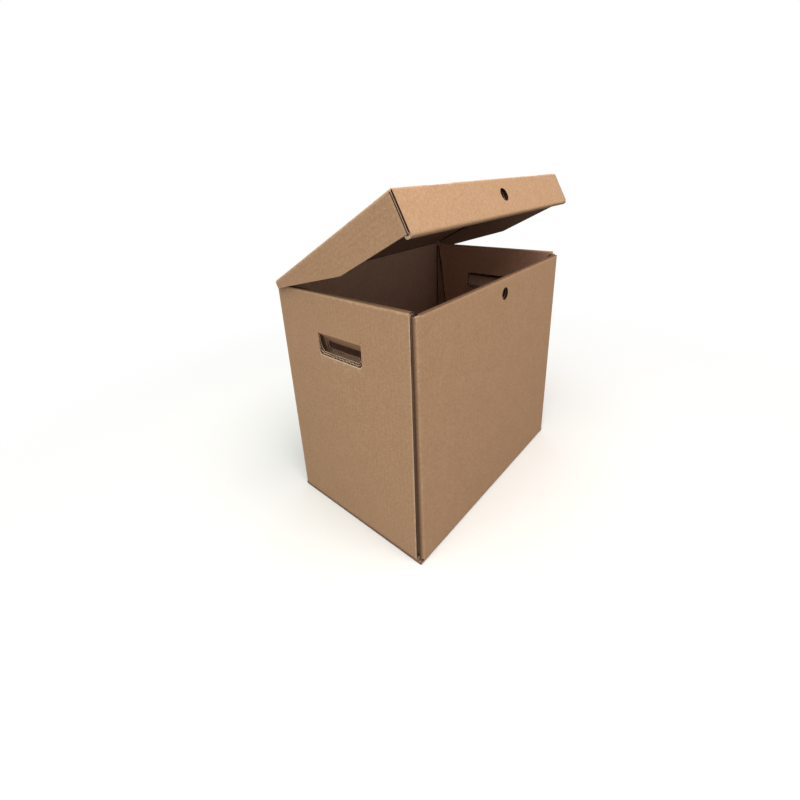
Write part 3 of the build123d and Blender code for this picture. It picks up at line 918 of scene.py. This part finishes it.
def bottom_flaps(m):
    """Flaps of the bottom: down from the wall and in with one quarter fold, the side flaps on top."""
    low = m.board / 2
    path = [(m.front_mid, m.fold_reach), (m.front_mid, low), (-m.bottom_seam / 2, low)]
    half = m.half_width - m.bottom_slot
    # Painted shade along the flaps' cut edges
    for name, place in (("bottom_front_flap", ()), ("bottom_back_flap", (flipped,))):
        bent(m, name, "box", path, "X", (-half, half), -1, place=place, cut=BOTTOM_CUT_SHADE_TONE)
    low = 1.5 * m.board
    path = [(-m.side_mid, m.side_foot), (-m.side_mid, low), (-m.half_width + m.minor_length, low)]
    half = m.half_depth - m.board - m.minor_room
    # Painted shade along the flaps' cut edges
    for name, place in (("bottom_left_flap", ON_LEFT), ("bottom_right_flap", ON_RIGHT)):
        bent(m, name, "box", path, "Y", (-half, half), -1, place=place, cut=BOTTOM_CUT_SHADE_TONE)


def hand_flap(m, name, body, side):
    """Flap pushed in about its crease on the outer liner, crushed along the crease."""
    half = m.hand_width / 2 - m.hand_cut
    path = [(-m.side_mid, -half), (-m.side_mid, half)]

    def bands(a, mid, depth):
        foot = slanted_foot(m, a - half, half, m.hand_foot + m.hand_cut, depth)
        return [foot, m.hand_crease - depth * math.tan(m.flap_bevel)], [False]

    # Painted shade on the inner liner along the bevelled crease
    def tone(layer, a, z):
        from_crease = m.hand_crease - m.board * math.tan(m.flap_bevel) - z
        return np.interp(from_crease, [m.rim, 2.5 * m.rim], [GROOVE_SHADE_TONE, 0.0]) * (layer == INNER_LINER)

    def pushed_in(points):
        c, s = math.cos(m.hand_rest), math.sin(m.hand_rest)
        x_from = points[..., 0] + m.half_width
        z_from = points[..., 2] - m.hand_crease
        x = -m.half_width + x_from * c - z_from * s
        z = m.hand_crease + x_from * s + z_from * c
        return np.stack([x, points[..., 1], z], axis=-1)

    board(m, name, body, path, "Z", (0, 2 * half), bands, [9], marks=half + hand_marks(m, half),
          place=(pushed_in, *side), tone=tone, cut=FLAP_CUT_TONE)


def hand_flaps(m):
    """Flaps of both hand holes."""
    hand_flap(m, "left_hand_flap", "left_hand", ON_LEFT)
    hand_flap(m, "right_hand_flap", "right_hand", ON_RIGHT)


def lid_top(m):
    """Top of the lid: flat, bevelled along the crease, with slits for the lock tabs along the front."""
    path = [(-m.lid_plate, m.lid_mid), (m.lid_plate, m.lid_mid)]
    rear = m.half_width - m.fold_outer

    def bands(a, mid, depth):
        x = mid - m.lid_plate
        levels = [m.lid_face + m.fold_reach, m.inner_face + m.board + m.tab_room, m.lid_rear - m.board,
                  m.half_depth - depth]
        return levels, [in_tab(m, x, m.tab_room), False, np.abs(x) > rear]

    # Painted shade on the inner liner: the whole underside of the lid, darkest in the groove at the crease
    def tone(layer, s, y):
        groove = [m.half_depth - m.board - m.rim, m.half_depth - m.board]
        return np.interp(y, groove, [UNDER_LID_SHADE_TONE, GROOVE_SHADE_TONE]) * (layer == INNER_LINER)

    marks = [m.lid_plate + x for x in (*tab_marks(m, m.tab_room), -rear, rear)]
    board(m, "lid_top", "lid", path, "Y", (0, 2 * m.lid_plate), bands, [1, 8, 2], marks=marks,
          place=(lid_turned(m),), tone=tone)


def fold_pale_and_highlight(m, lines, s, tones):
    """Paper over the first fold of a path, paler as stretched fibres and as painted highlight, with its
    plain tone a little past the fold.
    """
    return np.interp(s, [0, lines[1], lines[2], lines[2] + 2 * m.rim], tones)


def lid_side_flap(m, name, side, rear, rear_drop):
    """Side flap of the lid, folded down from its top with one quarter fold.

    Its flutes run along that fold. Its lower edge is straight from its rear end to a kink and on to its
    foot in front, and cuts the flutes at a slant."""
    outer = -m.lid_half + m.board / 2
    path = [(-m.lid_plate, m.lid_mid), (outer, m.lid_mid), (outer, m.ear_foot)]
    lines = fold_lines(m, path)
    full_drop = m.crease - m.ear_foot
    drops = [0, rear_drop, m.kink_drop, full_drop]
    ends = [rear, rear, m.half_depth - m.kink_distance, m.ear_face + m.fold_reach]

    def lower_edge(s):
        return np.interp(full_drop - (lines[-1] - s), drops, ends)

    def bands(a, mid, depth):
        return [m.ear_face, m.ear_face + m.fold_reach, lower_edge(a)], [mid > lines[2], False]

    def tone(layer, s, y):
        # Painted shade on the inner liner: under the lid, darkest inside the fold
        if layer == INNER_LINER:
            spots = [lines[1] - m.rim, lines[1], lines[2], lines[2] + m.rim]
            return np.interp(s, spots, [UNDER_LID_SHADE_TONE, LID_FOLD_SHADE_TONE, LID_FOLD_SHADE_TONE, UNDER_LID_SHADE_TONE])
        # Paler stretched paper with painted highlight over the fold, and pale torn fibres along the lower
        # edge
        torn = np.clip(1 - (lower_edge(s) - y) / m.rim, 0, 1)
        return fold_pale_and_highlight(m, lines, s, SIDE_FOLD_PALE_AND_HIGHLIGHT_TONES) + LID_TORN_TONE * torn

    slants = [np.linspace(*drops[i:i + 2], SLANT_STEPS + 1) for i in (1, 2)]
    edge_marks = lines[-1] - full_drop + np.concatenate(slants)
    marks = [*edge_marks, lines[2] + 2 * m.rim, lines[-1] - full_drop + m.kink_drop - m.rim]
    board(m, name, "lid", path, "Y", (0, lines[-1]), bands, [1, 10], outer=-1, marks=marks,
          place=(lid_turned(m), *side), tone=tone)


def lid_panels(m):
    """Top and side flaps of the lid. The right flap sags and reaches nearer to the crease."""
    lid_top(m)
    lid_side_flap(m, "lid_left_flap", ON_LEFT, m.lid_rear, m.rear_drop)
    lid_side_flap(m, "lid_right_flap", ON_RIGHT, m.lid_rear + m.right_reach, m.rear_drop + m.right_sag)


def lid_ear(m, name, side):
    """Ear folded in behind the front panel with one quarter fold, its flutes running round the fold."""
    outer = -m.lid_half + m.board / 2
    middle = m.ear_face + m.board / 2
    path = [(outer, m.ear_face + m.fold_reach), (outer, middle), (-m.lid_half + m.ear_length, middle)]
    lines = fold_lines(m, path)
    low, high = m.ear_foot, m.crease - m.fold_outer
    centre, half = (low + high) / 2, (high - low) / 2

    def bands(a, mid, depth):
        tip = lines[-1] + round_line(a - centre, half, m.ear_corner, 0, -1)
        return [*lines[:-1], tip], [False, False, False]

    # Painted shade at the end of the ear's fold, behind the front panel
    def tone(layer, z, s):
        return np.interp(s, spots_on(lines, EAR_PLACES), EAR_FOLD_SHADE_TONES)

    board(m, name, "lid", path, "Z", (low, high), bands, [1, FOLD_STEPS, 2], outer=-1, flutes="path",
          marks=centre + corner_marks(half, m.ear_corner), place=(lid_turned(m), *side), tone=tone)


def lid_front_panel(m):
    """Outer front panel of the lid, folded down from its top with one quarter fold, with a tie hole.

    The fold is open at the slits of the lock tabs, and its upper part is cut away at both ends."""
    outer = m.lid_face + m.board / 2
    path = [(m.lid_face + m.fold_reach, m.lid_mid), (outer, m.lid_mid), (outer, m.lid_foot + m.fold_reach)]
    lines = fold_lines(m, path)
    hole = lines[-1] - (m.lid_tie_height - m.lid_foot - m.fold_reach)
    lip = lines[1] + (lines[2] - lines[1]) * LIP_SHARE
    end = m.lid_half - m.board

    def bands(a, mid, depth):
        levels = [0.0, lines[1], lip, lines[2], *tie_lines(m, a, hole), lines[-1]]
        cut_off = in_tab(m, mid, m.tab_room) | (np.abs(mid) > end)
        return levels, [cut_off, cut_off, False, False, in_tie_hole(m, mid), False]

    # Paler stretched paper with painted highlight over the fold, painted shade at the panel's ends and round
    # the tie hole
    def tone(layer, x, s):
        ends = np.clip(1 - (m.lid_half - np.abs(x)) / m.rim, 0, 1)
        fold = fold_pale_and_highlight(m, lines, s, FRONT_FOLD_PALE_AND_HIGHLIGHT_TONES)
        return fold + LID_CORNER_SHADE_TONE * ends * (layer != FLUTING) + tie_hole_shade(m, x, s, hole)

    end_marks = (-end, end, m.liner - m.lid_half, m.lid_half - m.liner)
    marks = [*tie_marks(m), *tab_marks(m, m.tab_room), *end_marks]
    board(m, "lid_front_flap", "lid", path, "X", (-m.lid_half, m.lid_half), bands, [1, 4, 3, 3, 1, 3],
          outer=-1, flutes="path", marks=marks, phase=math.pi, place=(lid_turned(m),), tone=tone)


def lid_front_edge(m):
    """Rolled lower edge of the lid's front: down, in and up again with two quarter folds."""
    outer = m.lid_face + m.board / 2
    inner = m.inner_face + m.board / 2
    low = m.lid_foot + m.board / 2
    high = m.lid_foot + m.fold_reach
    half = m.lid_half - m.edge_inset
    path = [(outer, high), (outer, low), (inner, low), (inner, high)]
    bent(m, "lid_front_edge", "lid", path, "X", (-half, half), -1, place=(lid_turned(m),),
         pressed=m.pressed)


def lid_front_inner(m):
    """Inner front panel of the lid: flat, with a tie hole and two lock tabs along its top."""
    half = m.lid_half - m.board - m.panel_room
    y = m.inner_face + m.board / 2
    path = [(-half, y), (half, y)]

    def bands(a, mid, depth):
        hole = tie_lines(m, a - half, m.lid_tie_height)
        levels = [m.lid_foot + m.fold_reach, *hole, m.lid_under - m.tab_room, m.crease]
        return levels, [False, in_tie_hole(m, mid - half), False, ~in_tab(m, mid - half, 0.0)]

    # Painted shade round the tie hole
    def tone(layer, a, z):
        return tie_hole_shade(m, a - half, z, m.lid_tie_height)

    marks = half + np.array([*tie_marks(m), *tab_marks(m, 0.0)])
    board(m, "lid_front_inner", "lid", path, "Z", (0, 2 * half), bands, [3, 1, 3, 1], marks=marks,
          place=(lid_turned(m),), tone=tone)


def lid_front(m):
    """Rolled front of the lid: outer panel, lower edge, inner panel and both ears."""
    lid_front_panel(m)
    lid_front_edge(m)
    lid_front_inner(m)
    lid_ear(m, "lid_left_ear", ON_LEFT)
    lid_ear(m, "lid_right_ear", ON_RIGHT)


def crease_bead(m, name, axis, place, reach):
    """Thin tube of pressed paper along a crease that moves, so that the crease stays closed at every angle.

    Two rings, each a circle round the line of the crease, are joined by a wall and closed by a cap at each
    end."""
    turn = np.linspace(0, 2 * math.pi, BEAD_SIDES, endpoint=False)
    ring = np.array(place) + m.bead * np.stack([np.cos(turn), np.sin(turn)], axis=-1)
    points = np.concatenate([in_space(axis, ring, end) for end in (-reach, reach)])
    start = np.arange(BEAD_SIDES)
    stop = np.roll(start, -1)
    wall = np.stack([start, stop, stop + BEAD_SIDES, start + BEAD_SIDES], axis=-1)
    mesh = bpy.data.meshes.new(name)
    mesh.from_pydata(points, [], wall.tolist() + [start[::-1].tolist(), (start + BEAD_SIDES).tolist()])
    clean(mesh)
    new_piece(name, mesh, "box", ("Kraft liner",))


def crease_beads(m):
    """Beads of the lid's crease and of both hand flaps' creases."""
    lid_line = (m.half_depth - m.bead, m.crease - m.bead)
    crease_bead(m, "lid_crease", "X", lid_line, m.half_width - m.fold_outer)
    half = m.hand_width / 2 - m.hand_cut
    crease_bead(m, "left_hand_crease", "Y", (-m.half_width + m.bead, m.hand_crease), half)
    crease_bead(m, "right_hand_crease", "Y", (m.half_width - m.bead, m.hand_crease), half)


def linear(value):
    """Linear colour of an sRGB hex value."""
    shares = [int(value[i:i + 2], 16) / 255 for i in (1, 3, 5)]
    return [c / 12.92 if c <= 0.04045 else ((c + 0.055) / 1.055) ** 2.4 for c in shares] + [1.0]


def add(tree, kind, inputs=None, output=0, **settings):
    """Adds a node with its settings and with values or links as its inputs. Returns one of its outputs."""
    node = tree.nodes.new(kind)
    for key, value in settings.items():
        setattr(node, key, value)
    for key, value in (inputs or {}).items():
        if isinstance(value, bpy.types.NodeSocket):
            tree.links.new(value, node.inputs[key])
        else:
            node.inputs[key].default_value = value
    return node.outputs[output] if node.outputs else None


def new_material(name):
    """Material without nodes."""
    material = bpy.data.materials.new(name)
    material.use_nodes = True
    material.node_tree.nodes.clear()
    return material


def paper(name, light, dark, tints, washboard, pitch):
    """Uncoated paper: matt, with cloudy fibre clumps, fine fibre speckle and faint lines over the flutes.

    Towards cuts the paper pales, and over folds it pales as stretched paper with painted highlight. Where
    its tone is below zero it darkens towards the painted-shade colour: painted shade in grooves, hollows and
    corners."""
    tree = new_material(name).node_tree
    spot = add(tree, "ShaderNodeTexCoord", output="Object")
    patterns = ((CLOUD_SIZE, CLOUD_DETAIL), (CLUMP_SIZE, FINE_DETAIL), (FIBRE_SIZE, FINE_DETAIL))
    clouds, clumps, fibres = [
        add(tree, "ShaderNodeTexNoise", {"Vector": spot, "Scale": 1 / size, "Detail": detail}, output="Fac")
        for size, detail in patterns
    ]
    mottle = add(tree, "ShaderNodeMath", {0: clouds, 1: CLOUD_WEIGHT, 2: clumps}, operation="MULTIPLY_ADD")
    mottle = add(tree, "ShaderNodeMath", {0: fibres, 1: FIBRE_WEIGHT, 2: mottle}, operation="MULTIPLY_ADD")
    share = add(tree, "ShaderNodeMapRange", {0: mottle, 1: MOTTLE_RANGE[0], 2: MOTTLE_RANGE[1]})
    # Place on the board: across the flutes, along them, and the tone
    place = add(tree, "ShaderNodeAttribute", output="Vector", attribute_name="board_place")
    parts = add(tree, "ShaderNodeSeparateXYZ", {0: place}).node.outputs
    turn = add(tree, "ShaderNodeMath", {0: parts["X"], 1: 2 * math.pi / pitch}, operation="MULTIPLY")
    ridge = add(tree, "ShaderNodeMath", {0: turn}, operation="SINE")
    lines = add(tree, "ShaderNodeMath", {0: ridge, 1: washboard, 2: share}, operation="MULTIPLY_ADD")
    torn = add(tree, "ShaderNodeMath", {0: parts["Z"], 1: clumps}, operation="MULTIPLY")
    pale = add(tree, "ShaderNodeMapRange", {0: torn, 1: PALE_RANGE[0], 2: PALE_RANGE[1]})
    # Painted shade: tones below zero mix the paper towards the dark painted-shade colour
    painted_shade_share = add(tree, "ShaderNodeMapRange", {0: parts["Z"], 1: 0.0, 2: -1.0})
    # Inputs 6 and 7 of a mix are its two colours, and output 2 is the colour between them
    tint = linear(dark)
    for factor, shade in ((lines, light), (pale, tints.cut), (painted_shade_share, tints.painted_shade)):
        colours = {0: factor, 6: tint, 7: linear(shade)}
        tint = add(tree, "ShaderNodeMix", colours, output=2, data_type="RGBA")
    relief = add(tree, "ShaderNodeMath", {0: ridge, 1: RIDGE_RELIEF, 2: mottle}, operation="MULTIPLY_ADD")
    grain = {"Height": relief, "Strength": BUMP_STRENGTH, "Distance": BUMP_HEIGHT}
    bump = add(tree, "ShaderNodeBump", grain)
    shader = add(tree, "ShaderNodeBsdfPrincipled", {
        "Base Color": tint,
        "Roughness": PAPER_ROUGHNESS,
        "IOR": PAPER_IOR,
        "Specular IOR Level": PAPER_SPECULAR,
        "Normal": bump,
    })
    add(tree, "ShaderNodeOutputMaterial", {"Surface": shader})


def make_materials(scene):
    """Papers of the board."""
    tints = scene.archive_colours
    pitch = scene.archive_board.pitch
    # Machine-smooth kraft on the outside: warm brown and matt, with the flutes just showing through
    paper("Kraft liner", tints.kraft, tints.kraft_dark, tints, OUTER_WASHBOARD, pitch)
    # The same kraft where it is turned in, a little lighter and redder: painted reddish bounce light of the
    # shaded inside
    paper("Turned-in kraft liner", tints.turned, tints.turned_dark, tints, OUTER_WASHBOARD, pitch)
    # Recycled liner on the inside: greyer, with the flutes showing more, and lighter than the kraft as
    # painted light for the shaded inside
    paper("Inner liner", tints.inner, tints.inner_dark, tints, INNER_WASHBOARD, pitch)
    # Rough recycled paper of the flutes: dark, and made darker still as painted shade so that the hollows
    # look deep
    paper("Fluting paper", tints.medium, tints.inner_dark, tints, 0.0, pitch)
    # Torn fibres at the cut edge of a liner: a pale thin line along every cut
    paper("Torn liner edge", tints.cut, tints.kraft, tints, 0.0, pitch)


def axes_of_view(bearing, height, roll):
    """Axes of something that looks at the box from a bearing and a height, with a roll."""
    flat = math.cos(height)
    back = np.array([math.sin(bearing) * flat, -math.cos(bearing) * flat, math.sin(height)])
    right = np.array([math.cos(bearing), math.sin(bearing), 0.0])
    up = np.cross(back, right)
    across = math.cos(roll) * right + math.sin(roll) * up
    upright = -math.sin(roll) * right + math.cos(roll) * up
    return across, upright, back


def placed(axes, spot):
    """Matrix that puts something with these axes on a spot."""
    matrix = np.eye(4)
    matrix[:3] = np.stack([*axes, spot], axis=1)
    return Matrix(matrix.tolist())


def make_camera(studio):
    """Camera on its spot, looking along its bearing, tilt and roll."""
    data = bpy.data.cameras.new("Camera")
    data.sensor_width = SENSOR_WIDTH
    data.lens = studio.lens
    data.shift_x = studio.shift_x
    data.shift_y = studio.shift_y
    data.clip_start = CLIP_START
    camera = bpy.data.objects.new("Camera", data)
    axes = axes_of_view(studio.azimuth, studio.elevation, studio.roll)
    camera.matrix_world = placed(axes, np.array(studio.camera))
    bpy.context.scene.collection.objects.link(camera)
    bpy.context.scene.camera = camera


def make_light(studio, name, key, height, distance, size):
    """Square light at its own bearing, a height and a distance, pointing at the middle of the box."""
    data = bpy.data.lights.new(name, "AREA")
    data.energy = getattr(studio, f"{key}_power")
    data.color = linear(getattr(studio, f"{key}_tint"))[:3]
    data.size = size
    light = bpy.data.objects.new(name, data)
    axes = axes_of_view(getattr(studio, f"{key}_bearing"), height, 0.0)
    light.matrix_world = placed(axes, np.array([0.0, 0.0, studio.aim]) + distance * axes[2])
    bpy.context.scene.collection.objects.link(light)


def make_lights(studio):
    """Two large soft boxes, in front of the box and on its left, and a small weak light low on the left."""
    soft_box = (studio.box_height, studio.box_distance, studio.box_size)
    make_light(studio, "Front soft box", "front", *soft_box)
    make_light(studio, "Left soft box", "left", *soft_box)
    make_light(studio, "Low fill", "fill", studio.fill_height, studio.fill_distance, studio.fill_size)


def make_floor(studio):
    """Pale sheet on the floor, a flat square far wider than the box."""
    ends = np.array([-studio.floor_reach, studio.floor_reach])
    x, y = np.meshgrid(ends, ends)
    points = np.stack([x, y, np.zeros(x.shape)], axis=-1).reshape(-1, 3)
    mesh = bpy.data.meshes.new("floor")
    mesh.from_pydata(points, [], [(0, 1, 3, 2)])
    mesh.materials.append(studio_paper(studio))
    floor = bpy.data.objects.new("floor", mesh)
    bpy.context.scene.collection.objects.link(floor)


def studio_paper(studio):
    """Matt studio paper: it keeps the shadow near the box and is plain white further off."""
    material = new_material("Matt studio paper")
    tree = material.node_tree
    camera_ray = add(tree, "ShaderNodeLightPath", output="Is Camera Ray")
    tints = {0: camera_ray, 6: linear(studio.bounce), 7: linear(studio.floor)}
    tint = add(tree, "ShaderNodeMix", tints, output=2, data_type="RGBA")
    lit = add(tree, "ShaderNodeBsdfDiffuse", {"Color": tint})
    glow = add(tree, "ShaderNodeEmission", {"Color": WHITE})
    spot = add(tree, "ShaderNodeTexCoord", output="Object")
    reach = add(tree, "ShaderNodeVectorMath", {0: spot}, output="Value", operation="LENGTH")
    fade = {0: reach, 1: studio.shadow_reach, 2: studio.white_reach}
    far = add(tree, "ShaderNodeMapRange", fade, interpolation_type="SMOOTHSTEP")
    seen = add(tree, "ShaderNodeMath", {0: far, 1: camera_ray}, operation="MULTIPLY")
    shader = add(tree, "ShaderNodeMixShader", {0: seen, 1: lit, 2: glow})
    add(tree, "ShaderNodeOutputMaterial", {"Surface": shader})
    return material


def make_world(studio):
    """Even white light from all round, plain white to the camera and in gloss."""
    world = bpy.data.worlds.new("Studio")
    world.use_nodes = True
    tree = world.node_tree
    tree.nodes.clear()
    rays = add(tree, "ShaderNodeLightPath").node.outputs
    direct = {0: rays["Is Camera Ray"], 1: rays["Is Glossy Ray"]}
    seen = add(tree, "ShaderNodeMath", direct, operation="MAXIMUM")
    strength = add(tree, "ShaderNodeMapRange", {0: seen, 3: studio.sky, 4: 1.0})
    sky = add(tree, "ShaderNodeBackground", {"Color": WHITE, "Strength": strength})
    add(tree, "ShaderNodeOutputWorld", {"Surface": sky})
    bpy.context.scene.world = world


class ARCHIVE_OT_papers(Operator):
    """Makes the papers that the boards are dressed in"""

    bl_idname = "archive_box.papers"
    bl_label = "Papers"

    def execute(self, context):
        make_materials(context.scene)
        return {"FINISHED"}


class ARCHIVE_OT_walls(Operator):
    """Builds the walls of the tube and the glue flap that closes it"""

    bl_idname = "archive_box.walls"
    bl_label = "Walls"

    def execute(self, context):
        m = measures(context.scene)
        for make in (front_wall, back_wall, side_walls, glue_flap):
            make(m)
        return {"FINISHED"}


class ARCHIVE_OT_rolled_edges(Operator):
    """Builds the rolled top edges of the front and side walls"""

    bl_idname = "archive_box.rolled_edges"
    bl_label = "Rolled edges"

    def execute(self, context):
        rolled_edges(measures(context.scene))
        return {"FINISHED"}


class ARCHIVE_OT_inner_walls(Operator):
    """Builds the turned-in inner walls"""

    bl_idname = "archive_box.inner_walls"
    bl_label = "Inner walls"

    def execute(self, context):
        inner_walls(measures(context.scene))
        return {"FINISHED"}


class ARCHIVE_OT_bottom(Operator):
    """Builds the four flaps of the bottom"""

    bl_idname = "archive_box.bottom"
    bl_label = "Bottom flaps"

    def execute(self, context):
        bottom_flaps(measures(context.scene))
        return {"FINISHED"}


class ARCHIVE_OT_hand_flaps(Operator):
    """Builds the flaps of the hand holes"""

    bl_idname = "archive_box.hand_flaps"
    bl_label = "Hand flaps"

    def execute(self, context):
        hand_flaps(measures(context.scene))
        return {"FINISHED"}


class ARCHIVE_OT_lid_panels(Operator):
    """Builds the lid's top and side flaps"""

    bl_idname = "archive_box.lid_panels"
    bl_label = "Lid panels"

    def execute(self, context):
        lid_panels(measures(context.scene))
        return {"FINISHED"}


class ARCHIVE_OT_lid_front(Operator):
    """Builds the lid's rolled front with its ears and lock tabs"""

    bl_idname = "archive_box.lid_front"
    bl_label = "Lid front"

    def execute(self, context):
        lid_front(measures(context.scene))
        return {"FINISHED"}


class ARCHIVE_OT_creases(Operator):
    """Lays pressed paper along the creases that move"""

    bl_idname = "archive_box.creases"
    bl_label = "Creases"

    def execute(self, context):
        crease_beads(measures(context.scene))
        return {"FINISHED"}


class ARCHIVE_OT_studio(Operator):
    """Sets up the camera, the light and the floor"""

    bl_idname = "archive_box.studio"
    bl_label = "Studio"

    def execute(self, context):
        for make in (make_camera, make_lights, make_floor, make_world):
            make(context.scene.archive_studio)
        context.scene.view_settings.view_transform = "Standard"
        return {"FINISHED"}


class ARCHIVE_PT_panel(Panel):
    """Lists the steps that build the archive box"""

    bl_idname = "ARCHIVE_PT_panel"
    bl_label = "Archive box"
    bl_space_type = "VIEW_3D"
    bl_region_type = "UI"
    bl_category = "Archive box"

    def draw(self, context):
        for step in STEPS:
            self.layout.operator(step.bl_idname)
        for group, cls in SETTINGS.items():
            for key in cls.__annotations__:
                self.layout.prop(getattr(context.scene, group), key)


STEPS = (
    ARCHIVE_OT_papers,
    ARCHIVE_OT_walls,
    ARCHIVE_OT_rolled_edges,
    ARCHIVE_OT_inner_walls,
    ARCHIVE_OT_bottom,
    ARCHIVE_OT_hand_flaps,
    ARCHIVE_OT_lid_panels,
    ARCHIVE_OT_lid_front,
    ARCHIVE_OT_creases,
    ARCHIVE_OT_studio,
)
SETTINGS = {
    "archive_board": BoardSizes,
    "archive_box": BoxSizes,
    "archive_holes": HoleSizes,
    "archive_lid": LidSizes,
    "archive_colours": BoardColours,
    "archive_studio": StudioSettings,
}


def register():
    """Registers the settings, the steps and the panel."""
    for cls in (*SETTINGS.values(), *STEPS, ARCHIVE_PT_panel):
        bpy.utils.register_class(cls)
    for name, cls in SETTINGS.items():
        setattr(bpy.types.Scene, name, PointerProperty(type=cls))


def unregister():
    """Removes the panel, the steps and the settings."""
    for name in SETTINGS:
        delattr(bpy.types.Scene, name)
    for cls in reversed((*SETTINGS.values(), *STEPS, ARCHIVE_PT_panel)):
        bpy.utils.unregister_class(cls)


def main():
    """Runs the steps in order."""
    register()
    for step in STEPS:
        group, name = step.bl_idname.split(".")
        getattr(getattr(bpy.ops, group), name)()


if __name__ == "__main__":
    main()
